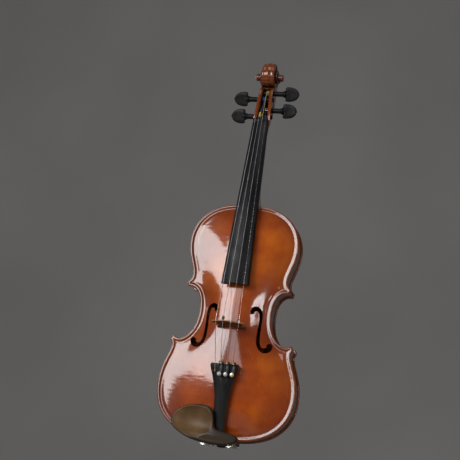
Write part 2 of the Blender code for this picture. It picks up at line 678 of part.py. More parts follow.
def make_end_fittings(body):
    side = [(-SADDLE_TOP, 1.2 * MM), (-SADDLE_TOP, 3 * MM), (-5.5 * MM, SADDLE_LENGTH),
            (-GAP, SADDLE_LENGTH), (-GAP, 0), (-6 * MM, 0)]
    piece("saddle", finished(slab("side", [side], -SADDLE_HALF, SADDLE_HALF)), "ebony", body)
    neck = BUTTON_NECK
    head = BUTTON_HEAD
    reach = BUTTON_REACH
    profile = [(0, LOWER_BLOCK[1] - 3 * MM), (neck * 0.85, LOWER_BLOCK[1] - 3 * MM), (neck, OVERHANG),
               (neck, OVERHANG - GAP), (BUTTON_GROOVE, OVERHANG - 2 * GAP), (BUTTON_GROOVE, -1 * MM),
               (head, -2.4 * MM), (head, 2 * MM - reach), (head - 0.8 * MM, 0.5 * MM - reach),
               (head - 2 * MM, -reach), (0, -reach)]
    turned("end_button", profile, "ebony", body, location=(0, RIB_HEIGHT / 2, 0), steps=16)


# ---- Neck --------------------------------------------------------------------------------------

def neck_section(z, half, depth, taper, power):
    """A U-shaped section: flat on the fingerboard's side, rounded at the back, squarer at a high power."""
    count = 7
    right = []
    for i in range(count + 1):
        t = sin(pi / 2 * i / count)
        width = half * (1 - taper * t) * (max(1 - t ** power, 0)) ** 0.5
        right.append((width, depth * t, z))
    left = [(-x, y, zz) for x, y, zz in reversed(right[:-1])]
    return right + left


def scroll_outline(quarters_in, points_per_quarter=4):
    """One turn of the volute, (y, z), starting at its back, going over the top to the front."""
    outline = []
    for i in range(4 * points_per_quarter):
        quarter = i / points_per_quarter
        radius = SCROLL_RADIUS * SCROLL_SHRINK ** max(quarter + quarters_in - 1, 0)
        angle = quarter * pi / 2
        outline.append((SCROLL_CENTRE[0] + radius * cos(angle), SCROLL_CENTRE[1] + radius * sin(angle)))
    return outline


def make_neck(body, neck):
    """One piece of maple: heel, shaft, pegbox and scroll."""
    shaft = [neck_section(z * MM, half * MM, depth * MM, *shape) for z, half, depth, *shape in NECK_SECTIONS]
    made = piece("neck_and_scroll", finished(loft(shaft)), "varnish", neck)
    box = slab("side", [scaled(PEGBOX_SIDE)], -1, 1)
    for vert in box.verts:
        vert.co.x *= pegbox_half(vert.co.z)
    boolean(made, box, "UNION", neck)
    for quarters_in, half in SCROLL_STEPS:
        boolean(made, slab("side", [scroll_outline(quarters_in)], -half, half), "UNION", neck)
    eye = rod(EYE_RADIUS, -EYE_REACH, EYE_REACH, axis="X", centre=SCROLL_CENTRE)
    boolean(made, eye, "UNION", neck)

    channel = slab("side", [scaled(CHANNEL_SIDE)], -1, 1)
    for vert in channel.verts:
        vert.co.x *= pegbox_half(vert.co.z) - CHEEK
    boolean(made, channel, "DIFFERENCE", neck)
    for _, _, height in PEGS:
        hole = rod(PEG_RADIUS[0] + GAP, -20 * MM, 20 * MM, axis="X", centre=(PEG_DEPTH, height), sides=12)
        boolean(made, hole, "DIFFERENCE", neck)
    below_mortise = block((-0.05, -0.08, 0.2), (0.05, 0.12, BODY_LENGTH - MORTISE))
    boolean(made, below_mortise, "DIFFERENCE", body)
    behind_heel = block((-0.05, RIB_HEIGHT - GAP, 0.3), (0.05, 0.12, BODY_LENGTH + 30 * MM))
    boolean(made, behind_heel, "DIFFERENCE", body)


def pegbox_half(z):
    """Half the pegbox's width: it narrows evenly from the nut to the scroll."""
    return PEGBOX_HALF - PEGBOX_NARROWING * z / PEGBOX_LENGTH


def make_fingerboard(neck):
    sections = []
    for z, half in ((-FINGERBOARD_LENGTH, FINGERBOARD_HALF[1]), (-GAP, FINGERBOARD_HALF[0])):
        section = [(half, -GAP, z), (-half, -GAP, z)]
        steps = 10
        for i in range(steps + 1):
            x = half * (2 * i / steps - 1)
            crown = sqrt(FINGERBOARD_RADIUS ** 2 - x * x) - sqrt(FINGERBOARD_RADIUS ** 2 - half * half)
            section.append((x, -FINGERBOARD_EDGE - crown, z))
        sections.append(section)
    piece("fingerboard", finished(loft(sections)), "ebony", neck)
    half = FINGERBOARD_HALF[0]
    profile = [(-half, GAP), (half, GAP)]
    profile += [(x, nut_top(x)) for x in (half, half * 0.7, half * 0.35, 0, -half * 0.35, -half * 0.7, -half)]
    piece("nut", finished(slab("end", [profile], 0, NUT_LENGTH)), "ebony", neck)


def nut_top(x):
    return FINGERBOARD_EDGE + 2.5 * MM - (FINGERBOARD_RADIUS - sqrt(FINGERBOARD_RADIUS ** 2 - x * x))


def make_pegs(neck):
    for name, side, height in PEGS:
        far = -pegbox_half(height) - 0.8 * MM
        near = pegbox_half(height)
        collar = [(radius * MM, PEG_COLLAR + rise * MM) for radius, rise in PEG_COLLAR_PROFILE]
        tip = PEG_RADIUS[1] - 0.6 * MM
        profile = collar + [(PEG_RADIUS[0], PEG_COLLAR - 1 * MM), (PEG_RADIUS[0], near), (PEG_RADIUS[1], far),
                            (tip, far - 0.5 * MM), (0, far - 0.5 * MM)]
        turn = (0, side * pi / 2, 0)
        place = (0, PEG_DEPTH, height)
        peg = turned(f"{name}_peg", profile, "ebony", neck, location=place, turn=turn, steps=12)
        head = bmesh.new()
        bmesh.ops.create_uvsphere(head, u_segments=12, v_segments=8, radius=1)
        middle = (PEG_COLLAR + 4 * MM + PEG_END) / 2
        bmesh.ops.scale(head, vec=(*PEG_HEAD, PEG_END - middle), verts=head.verts[:])
        bmesh.ops.translate(head, vec=(0, 0, middle), verts=head.verts[:])
        boolean(peg, head, "UNION", peg)


# ---- Strings and what holds them ----------------------------------------------------------------

def bridge_top(x):
    return BRIDGE_TOP - BRIDGE_LEAN * x - (BRIDGE_CURVE - sqrt(BRIDGE_CURVE ** 2 - x * x))


def make_bridge(body):
    crown = [(x * MM, bridge_top(x * MM)) for x in BRIDGE_CROWN]
    right = scaled(BRIDGE_SHOULDER)
    half_thick = BRIDGE_THICKNESS[0] / 2
    foot_height = BRIDGE_HEIGHT - BRIDGE_TILT * (BRIDGE_TOP - BRIDGE_BASE)
    for x in BRIDGE_FOOT:
        reach = (foot_height - half_thick, foot_height, foot_height + half_thick)
        right.append((x * MM, max(top_surface(x * MM, z) for z in reach) + GAP))
    right += scaled(BRIDGE_ARCH)
    left = [(-x, h) for x, h in reversed(right[:-1])]
    outline = right + left + crown[::-1]
    kidney = scaled(BRIDGE_KIDNEY)
    bm = slab("end", [outline, scaled(BRIDGE_HEART), kidney, mirrored(kidney)], -0.5, 0.5)
    foot, top = BRIDGE_THICKNESS
    for vert in bm.verts:
        rise = min(max((-vert.co.y - BRIDGE_BASE) / (BRIDGE_TOP - BRIDGE_BASE), 0), 1)
        thickness = foot + (top - foot) * rise
        tilt = BRIDGE_TILT * (BRIDGE_TOP + vert.co.y)
        vert.co.z = BRIDGE_HEIGHT - foot / 2 - tilt + (thickness if vert.co.z > 0 else 0)
    piece("bridge", finished(bm), "bridge_maple", body)


def tail_half(back):
    """Half the tailpiece's width, back from its upper end."""
    for (a, wide), (b, narrow) in zip(TAIL_HALF, TAIL_HALF[1:]):
        if a <= back <= b:
            return wide + (narrow - wide) * (back - a) / (b - a)
    return TAIL_HALF[-1][1]


def tail_surface(x, back):
    half = tail_half(back)
    return TAIL_CROWN * (half / TAIL_HALF[1][1]) * (1 - (x / half) ** 2)


def make_tailpiece(tail):
    sections = []
    for back, half in TAIL_HALF:
        across = [half * (i / 4 - 1) for i in range(9)]
        front = [(x, -tail_surface(x, back), -back) for x in across]
        rear = [(x * 0.97, TAIL_THICKNESS - tail_surface(x, back), -back) for x in across[7:0:-3]]
        sections.append(front + rear)
    made = piece("tailpiece", finished(loft(sections)), "ebony", tail)
    for name, _, _, x, _, _ in STRINGS:
        place = (x, -10 * MM) if name == "g" else (x, -SCREW_BACK)
        boolean(made, rod(1.9 * MM, -20 * MM, 20 * MM, axis="Y", centre=place), "DIFFERENCE", tail)


def make_fine_tuners(tail):
    """Three tuners: a frame on the tailpiece, a screw through it, and the lever that the screw pushes."""
    for name, _, _, x, _, _ in STRINGS[1:]:
        inner = abs(x) - TUNER_HALF
        seat = -tail_surface(inner, SCREW_BACK) - GAP
        seat = min(seat, -tail_surface(inner, 3 * MM) - GAP)
        top = seat - TUNER_HEIGHT
        bm = block((x - TUNER_HALF, top, -SCREW_BACK - 3.5 * MM), (x + TUNER_HALF, seat, 3.4 * MM))
        tuner = piece(f"{name}_tuner_frame", finished(bm), "ebony", tail)
        slot = LEVER_HALF + GAP
        lever_slot = block((x - slot, -20 * MM, -2.2 * MM), (x + slot, 20 * MM, 8 * MM))
        boolean(tuner, lever_slot, "DIFFERENCE", tail)
        pivot_y = (seat + top) / 2
        pivot_z = LEVER_PIVOT_UP
        pin_hole = rod(1.1 * MM, x - 5 * MM, x + 5 * MM, axis="X", centre=(pivot_y, pivot_z), sides=12)
        boolean(tuner, pin_hole, "DIFFERENCE", tail)
        screw_hole = rod(1.7 * MM, -20 * MM, 20 * MM, axis="Y", centre=(x, -SCREW_BACK))
        boolean(tuner, screw_hole, "DIFFERENCE", tail)

        arm = LEVER_ARM - pivot_y
        hook = HOOK_RISE
        thick = 1.4 * MM
        end = -SCREW_BACK - 1.5 * MM - pivot_z
        side = [(-hook, 0.9 * MM), (-hook, -2.6 * MM), (-hook + 1.3 * MM, -2.6 * MM),
                (-hook + 1.3 * MM, -0.9 * MM), (1 * MM, -0.9 * MM), (arm, 0.1 * MM),
                (arm, end), (arm + thick, end), (arm + thick, 0.9 * MM)]
        bm = slab("side", [side], -LEVER_HALF, LEVER_HALF)
        lever = piece(f"{name}_tuner_lever", finished(bm), "nickel", tail, location=(x, pivot_y, pivot_z))
        boolean(lever, rod(0.8 * MM, -2.9 * MM, 2.9 * MM, axis="X", sides=12), "UNION", lever)

        head_top = top - 5 * MM
        tip = head_top - LEVER_ARM + GAP
        profile = [(0, 0), (2.4 * MM, 0), (3.2 * MM, -0.5 * MM), (3.2 * MM, -2.9 * MM),
                   (2.2 * MM, -3.2 * MM), (1.35 * MM, -3.2 * MM), (1.35 * MM, tip), (0, tip)]
        turned(f"{name}_tuner_screw", profile, "nickel", tail, location=(x, head_top, -SCREW_BACK),
               turn=(pi / 2, 0, 0))


def make_strings(body, neck, tail):
    """Each string runs from its anchor over the bridge and the nut to its turns round the peg."""
    bpy.context.view_layer.update()
    to_body = body.matrix_world.inverted()
    from_neck = to_body @ neck.matrix_world
    from_tail = to_body @ tail.matrix_world
    heights = {name: height for name, _, height in PEGS}
    for name, nut_x, bridge_x, tail_x, radius, start_x in STRINGS:
        if name == "g":
            anchor = from_tail @ Vector((tail_x, -tail_surface(tail_x, 10 * MM) - radius - GAP, -9 * MM))
            edge = from_tail @ Vector((tail_x, -tail_surface(tail_x, 3 * MM) - 2 * radius - GAP, -1 * MM))
            path = [anchor, edge]
        else:
            path = [from_tail @ Vector((tail_x, -9.6 * MM, 3.4 * MM))]
        bridge_z = BRIDGE_HEIGHT - BRIDGE_THICKNESS[0] / 2 + BRIDGE_THICKNESS[1] / 2
        path.append(Vector((bridge_x, -bridge_top(bridge_x) - radius - GAP, bridge_z)))
        over = -nut_top(nut_x) - radius - GAP
        path.append(from_neck @ Vector((nut_x, over, 0)))
        path.append(from_neck @ Vector((nut_x, over, NUT_LENGTH + 0.3 * MM)))
        side = -1 if nut_x < 0 else 1
        ring = PEG_RADIUS[0] + radius + GAP
        steps = 8
        for i in range(int(STRING_TURNS * steps) + 1):
            turn = 2 * pi * i / steps
            x = side * (start_x + STRING_PITCH * i / steps)
            turned_to = (x, PEG_DEPTH - ring * cos(turn), heights[name] + ring * sin(turn))
            path.append(from_neck @ Vector(turned_to))
        piece(f"{name}_string", finished(tube(path, radius)), "string_steel", body)

        if name == "d":
            _, bridge, nut, *_ = path
            along = (nut - bridge).normalized()
            half = SLEEVE_LENGTH / 2
            profile = [(SLEEVE_RADIUS, half), (SLEEVE_RADIUS, -half), (radius + GAP, -half),
                       (radius + GAP, half), (SLEEVE_RADIUS, half)]
            place = bridge + along * SLEEVE_UP
            sleeve = turned("string_sleeve", profile, "brown_sleeve", body, location=place, steps=12)
            sleeve.rotation_euler = along.to_track_quat("Z", "Y").to_euler()


def make_tailgut(body):
    """A cord looped round the end button's neck, over the saddle and into the tailpiece."""
    half = 4.6 * MM
    radius = TAILGUT_RADIUS
    middle = RIB_HEIGHT / 2
    ring = BUTTON_GROOVE + radius + GAP
    drop = OVERHANG - 2 * MM
    up = [(half, -13 * MM, -0.2 * MM), (half, -SADDLE_TOP - radius - GAP, 1.6 * MM),
          (half, -SADDLE_TOP + 1 * MM, -radius - GAP), (ring, -2 * MM, -radius - GAP), (ring, middle, drop)]
    around = [(ring * cos(a), middle + ring * sin(a), drop) for a in (pi * i / 8 for i in range(1, 8))]
    down = [(-x, y, z) for x, y, z in reversed(up)]
    piece("tailgut", finished(tube(up + around + down, radius, sides=6)), "black_cord", body)


# ---- Chin rest ---------------------------------------------------------------------------------

def make_chin_rest(body):
    low, high = REST_HEIGHTS
    plate_bm = slab("front", [scaled(REST_OUTLINE)], -high, -low)
    rest = piece("chin_rest", finished(plate_bm), "chin_rest_wood", body)
    dish = bmesh.new()
    bmesh.ops.create_uvsphere(dish, u_segments=24, v_segments=12, radius=1)
    bmesh.ops.scale(dish, vec=DISH_SIZE, verts=dish.verts[:])
    bmesh.ops.translate(dish, vec=(DISH_CENTRE[0], -high - DISH_LIFT, DISH_CENTRE[1]), verts=dish.verts[:])
    boolean(rest, dish, "DIFFERENCE", body)
    for near, far in REST_PADS:
        pad = block((near, -low - 2 * MM, 1.5 * MM), (far, -PLATE_EDGE - 2 * GAP, 6 * MM))
        boolean(rest, pad, "UNION", body)

    legs = (-CLAMP_HALF_SPACING, CLAMP_HALF_SPACING)
    centre_z = -CLAMP_DROP
    for side, x in zip(("bass", "treble"), legs):
        centre = (x, centre_z)
        stud_hole = rod(LEG_RADIUS + GAP, -low - 6 * MM, -low + 5 * MM, axis="Y", centre=centre, sides=12)
        boolean(rest, stud_hole, "DIFFERENCE", body)
        stud = rod(LEG_RADIUS, -low - 5 * MM, -BARREL_MIDDLE, axis="Y", centre=centre, sides=12)
        piece(f"chin_rest_stud_{side}", finished(stud), "nickel", body)
        bore = LEG_RADIUS + GAP
        profile = [(BARREL_RADIUS, BARREL_HALF), (BARREL_RADIUS, -BARREL_HALF), (bore, -BARREL_HALF),
                   (bore, BARREL_HALF), (BARREL_RADIUS, BARREL_HALF)]
        turned(f"chin_rest_barrel_{side}", profile, "nickel", body, location=(x, BARREL_MIDDLE, centre_z),
               turn=(pi / 2, 0, 0), steps=12)
    foot_face = RIB_HEIGHT + PLATE_EDGE + GAP
    foot = block((legs[0] - 5 * MM, foot_face, 0.5 * MM), (legs[1] + 5 * MM, foot_face + 2.5 * MM, 8 * MM))
    clamp = piece("chin_rest_foot", finished(foot), "nickel", body)
    for x in legs:
        arm_low = (x - 3 * MM, foot_face + 0.5 * MM, centre_z - 2 * MM)
        arm_high = (x + 3 * MM, foot_face + 2.2 * MM, 3 * MM)
        boolean(clamp, block(arm_low, arm_high), "UNION", body)
        leg_end = foot_face + 1 * MM
        leg = rod(LEG_RADIUS, BARREL_MIDDLE + 3 * MM, leg_end, axis="Y", centre=(x, centre_z), sides=12)
        boolean(clamp, leg, "UNION", body)


# ---- The violin --------------------------------------------------------------------------------

def make_violin():
    start_scene()
    body = frame("body_frame", (0, -RIB_HEIGHT / 2, BUTTON_REACH), 0)
    neck = frame("neck_frame", (0, NUT_DEPTH, NUT_HEIGHT), -NECK_TILT, body)
    tail = frame("tail_frame", (0, -TAIL_TOP[1], TAIL_TOP[0]), TAIL_TILT, body)
    make_plates(body)
    make_ribs(body)
    make_blocks(body)
    make_linings(body)
    make_inside(body)
    make_end_fittings(body)
    make_neck(body, neck)
    make_fingerboard(neck)
    make_pegs(neck)
    make_bridge(body)
    make_tailpiece(tail)
    make_fine_tuners(tail)
    make_strings(body, neck, tail)
    make_tailgut(body)
    make_chin_rest(body)


make_violin()
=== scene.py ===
from math import cos, pi, radians, sin, sqrt, tan

import bmesh
import bpy
import numpy as np
from mathutils import Matrix, Quaternion, Vector
from mathutils.bvhtree import BVHTree
from mathutils.geometry import delaunay_2d_cdt


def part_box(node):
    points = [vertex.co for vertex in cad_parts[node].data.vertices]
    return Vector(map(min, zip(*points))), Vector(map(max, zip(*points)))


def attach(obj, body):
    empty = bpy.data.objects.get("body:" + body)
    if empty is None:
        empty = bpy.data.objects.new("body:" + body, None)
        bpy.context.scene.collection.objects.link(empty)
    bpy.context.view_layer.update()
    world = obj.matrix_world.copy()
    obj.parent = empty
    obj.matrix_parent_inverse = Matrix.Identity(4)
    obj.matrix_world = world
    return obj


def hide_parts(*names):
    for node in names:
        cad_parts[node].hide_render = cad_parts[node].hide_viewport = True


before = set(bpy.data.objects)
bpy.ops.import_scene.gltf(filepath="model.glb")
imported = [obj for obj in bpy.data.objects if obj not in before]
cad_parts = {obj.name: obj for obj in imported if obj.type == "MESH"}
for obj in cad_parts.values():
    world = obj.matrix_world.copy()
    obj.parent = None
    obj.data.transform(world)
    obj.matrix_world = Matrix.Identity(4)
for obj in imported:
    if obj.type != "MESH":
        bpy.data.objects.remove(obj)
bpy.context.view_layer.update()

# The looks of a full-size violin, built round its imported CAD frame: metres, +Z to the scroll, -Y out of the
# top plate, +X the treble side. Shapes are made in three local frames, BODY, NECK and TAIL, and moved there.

MM = 0.001


def mm(points):
    """The points, given in millimetres, in metres."""
    return [tuple(v * MM for v in point) for point in points]

GAP = 0.3 * MM

# ---- Driving sizes, as in the CAD model -------------------------------------------------------

BODY_LENGTH = 355 * MM
RIB_HEIGHT = 31 * MM
RIB_THICKNESS = 1.2 * MM
PLATE_EDGE = 4 * MM
PLATE_FIELD = 3 * MM
OVERHANG = 2.6 * MM
TOP_RISE = 11.5 * MM
BACK_RISE = 11 * MM
EDGE_FLAT = 7 * MM
ARCH_RUN = 130 * MM
HEEL_HALF = 16.4 * MM
MORTISE = 6 * MM

# Half outline of the plates in mm, (half width, height), from the top centre down the treble side
UPPER_BOUT = [(0, 355), (22, 354.2), (42, 349.8), (60, 340.5), (74, 326), (82, 307.5), (83.8, 290),
              (81.5, 273), (76.5, 257), (73.2, 245), (73.6, 236.5), (79.6, 229)]
MIDDLE_BOUT = [(77.4, 223), (69.5, 222.3), (62.5, 217.5), (57.5, 208), (55.2, 195), (55.2, 181),
               (58, 167), (63.5, 155.5), (71.5, 147), (81, 143.2), (90.2, 146.4)]
LOWER_BOUT = [(93.2, 140.3), (90.2, 133.5), (92, 124), (97, 110), (101.6, 95), (104, 77), (103, 59),
              (97.5, 41), (87, 25.5), (72, 13.5), (54, 5.8), (34, 1.6), (14, 0.2), (0, 0)]
UPPER_CORNER = (78.5 * MM, 226 * MM)
LOWER_CORNER = (91.7 * MM, 143.3 * MM)

# Treble sound hole in mm: its two eyes (x, height, radius) and its two long edges
UPPER_EYE = (27.3, 190, 3.2)
LOWER_EYE = (57.9, 142, 4.6)
HOLE_OUTER = [(24.4, 191.4), (26.6, 196.9), (32, 199.4), (37.6, 197.4), (41.5, 191.6), (42.6, 184),
              (42.4, 172), (42.3, 160), (42.9, 150), (44.6, 143), (48, 138.8), (53.8, 140)]
HOLE_INNER = [(30.3, 191.2), (33.8, 192.4), (36.4, 190), (37.6, 184.5), (38, 172), (37.6, 160),
              (37.7, 150), (39.1, 142.4), (43.2, 135.4), (49.5, 131.4), (56, 132.2), (60.8, 135.8),
              (62.3, 140.6)]

NUT_HEIGHT = 490 * MM
NUT_DEPTH = 3.35 * MM
NECK_TILT = radians(5.95)
FINGERBOARD_LENGTH = 265.4 * MM
FINGERBOARD_HALF = (12 * MM, 21 * MM)
FINGERBOARD_EDGE = 5 * MM
FINGERBOARD_RADIUS = 42 * MM
NUT_LENGTH = 5.3 * MM
SCROLL_CENTRE = (12.5 * MM, 85 * MM)
SCROLL_RADIUS = 25 * MM
SCROLL_SHRINK = 0.845
EYE_REACH = 22 * MM
PEGBOX_HALF = 13.5 * MM
PEGBOX_NARROWING = 4.8 * MM
PEGBOX_LENGTH = 92 * MM
PEG_DEPTH = 10.5 * MM
PEGS = [("g", -1, 15.5 * MM), ("d", -1, 45.5 * MM), ("a", 1, 56.5 * MM), ("e", 1, 27 * MM)]
PEG_RADIUS = (4 * MM, 3.3 * MM)
PEG_COLLAR = 26 * MM
PEG_END = 52 * MM
PEG_HEAD = (4.2 * MM, 11.5 * MM)
CHEEK = 4.6 * MM

# Strings: name, x at the nut, the bridge and the tailpiece, radius, where its turns start on the peg
STRINGS = [("g", -8.1 * MM, -17.1 * MM, -14 * MM, 0.42 * MM, 1.5 * MM),
           ("d", -2.7 * MM, -5.7 * MM, -4.7 * MM, 0.38 * MM, 0.3 * MM),
           ("a", 2.7 * MM, 5.7 * MM, 4.7 * MM, 0.34 * MM, 0.2 * MM),
           ("e", 8.1 * MM, 17.1 * MM, 14 * MM, 0.22 * MM, 1.5 * MM)]
STRING_TURNS = 3.5
STRING_PITCH = 1.15 * MM

BRIDGE_HEIGHT = 169 * MM
BRIDGE_TOP = 49 * MM
BRIDGE_CURVE = 41.5 * MM
BRIDGE_LEAN = 0.05
BRIDGE_TILT = 0.13  # how much its crown leans towards the fingerboard
BRIDGE_THICKNESS = (4.4 * MM, 1.6 * MM)
TAIL_TOP = (108.5 * MM, 25 * MM)
TAIL_LENGTH = 107 * MM
TAIL_TILT = radians(5.9)
TAIL_HALF = [(0, 20.5 * MM), (3 * MM, 22 * MM), (10 * MM, 20 * MM), (17 * MM, 17.4 * MM),
             (32 * MM, 13.2 * MM), (47 * MM, 10.6 * MM), (78 * MM, 8.8 * MM), (TAIL_LENGTH, 7.6 * MM)]
TAIL_CROWN = 3 * MM
TAIL_THICKNESS = 4.5 * MM
SCREW_BACK = 15.5 * MM
LEVER_PIVOT_UP = 1.5 * MM
LEVER_ARM = 5.4 * MM
LEVER_HALF = 1.0 * MM
HOOK_RISE = 3.8 * MM
TAILGUT_RADIUS = 1 * MM
SADDLE_HALF = 17.5 * MM
BUTTON_HALF = 10.5 * MM
BUTTON_RISE = 13.5 * MM
BUTTON_GROOVE = 4.2 * MM
BUTTON_HEAD = 6.75 * MM
SLEEVE_RADIUS = 2 * MM
SLEEVE_UP = 3.8 * MM

REST_HEIGHTS = (20 * MM, 28 * MM)
REST_OUTLINE = [(-69, 22), (-66, 31), (-56, 40.5), (-42, 45.5), (-27, 47), (-15, 45), (-8.5, 38), (-6.5, 28),
                (-5.5, 20), (-1, 14.5), (9, 11.5), (20, 9.8), (29, 7), (31.5, 2), (28.5, -3), (17, -7.6),
                (0, -8.2), (-20, -6.8), (-40, -2.6), (-56, 4.5), (-66, 12)]
CLAMP_HALF_SPACING = 19 * MM
CLAMP_DROP = 5 * MM
BARREL_RADIUS = 3.2 * MM
BARREL_MIDDLE = 6 * MM
LEG_RADIUS = 1.9 * MM

# ---- The frames, placed by the CAD model ------------------------------------------------------

RIBS_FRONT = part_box("upper_rib_bass")[0].y - GAP
BODY = Matrix.Translation((0, RIBS_FRONT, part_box("back_plate")[0].z))
NECK = BODY @ Matrix.Translation((0, NUT_DEPTH, NUT_HEIGHT)) @ Matrix.Rotation(-NECK_TILT, 4, "X")
TAIL = BODY @ Matrix.Translation((0, -TAIL_TOP[1], TAIL_TOP[0])) @ Matrix.Rotation(TAIL_TILT, 4, "X")


# ---- Camera, lights and backdrop --------------------------------------------------------------

CAMERA_PLACE = Vector((410.1, -1659.7, -106.8)) * MM  # in the body's frame
CAMERA_AIM = Vector((-0.24661, 0.93926, 0.23867))
CAMERA_UP = Vector((-0.06743, -0.26231, 0.96262))
CAMERA_LENS = 91.1


def make_camera():
    data = bpy.data.cameras.new("camera")
    data.lens = CAMERA_LENS
    data.sensor_width = 36
    data.clip_end = 100
    camera = bpy.data.objects.new("camera", data)
    bpy.context.scene.collection.objects.link(camera)
    right = CAMERA_AIM.cross(CAMERA_UP).normalized()
    up = right.cross(CAMERA_AIM).normalized()
    turn = Matrix((right, up, -CAMERA_AIM.normalized())).transposed().to_4x4()
    camera.matrix_world = Matrix.Translation(BODY @ CAMERA_PLACE) @ turn
    bpy.context.scene.camera = camera


def softbox(name, azimuth, elevation, spread, rise, radiance, distance=5.0, roll=0.0):
    """A rectangular light, placed by azimuth (0 in front, 90 at the treble side) and elevation in degrees."""
    data = bpy.data.lights.new(name, "AREA")
    data.shape = "RECTANGLE"
    data.size = 2 * distance * tan(radians(spread / 2))
    data.size_y = 2 * distance * tan(radians(rise / 2))
    data.energy = radiance * pi * data.size * data.size_y
    light = bpy.data.objects.new(name, data)
    bpy.context.scene.collection.objects.link(light)
    around, up = radians(azimuth), radians(elevation)
    back = Vector((sin(around) * cos(up), -cos(around) * cos(up), sin(up)))
    light.location = LIGHTS_AIM + back * distance
    light.rotation_euler = (back.to_track_quat("Z", "Y") @ Quaternion((0, 0, 1), radians(roll))).to_euler()


LIGHTS_AIM = Vector((0, 0, 0.2))


def make_studio():
    """A pale floor that sweeps up into a backdrop, soft boxes at the sides and above, and a dim even sky."""
    softbox("key_left", -37, 14.6, 15, 18, 10.5, roll=-20)
    softbox("key_middle", -22.4, 11, 15, 23, 10.5, roll=-20)
    softbox("key_spill", -9, 9, 9, 13, 3.5)
    softbox("strip_right", 27, 2, 5, 24, 13)
    softbox("overhead", 10, 62, 30, 24, 2.2, distance=3.0)
    softbox("rear", -135, 22, 30, 30, 2.2, distance=3.0)
    bpy.context.scene.view_settings.view_transform = "Standard"
    world = bpy.data.worlds.new("studio")
    world.use_nodes = True
    world.node_tree.nodes["Background"].inputs["Color"].default_value = (0.6, 0.6, 0.62, 1)
    world.node_tree.nodes["Background"].inputs["Strength"].default_value = 0.16
    bpy.context.scene.world = world

    floor_level = -0.75
    run = [(-9, floor_level)]
    sweep = 1.6
    wall = 4.2
    run += [(wall - sweep + sweep * sin(a), floor_level + sweep - sweep * cos(a))
            for a in (pi / 2 * i / 24 for i in range(25))]
    run.append((wall, 7))
    rows = [[(x, y, z) for y, z in run] for x in (-9, 9)]
    mesh = surface(rows)
    backdrop = bpy.data.objects.new("backdrop", mesh)
    bpy.context.scene.collection.objects.link(backdrop)
    backdrop.data.materials.append(paper())


def paper():
    made = Look("backdrop_paper", roughness=0.9)
    cloud = made.noise(1.3, detail=2)
    made.colour(made.ramp(cloud, [(0.3, (0.27, 0.262, 0.255)), (0.7, (0.31, 0.302, 0.295))]))
    return made.material


# ---- Materials --------------------------------------------------------------------------------

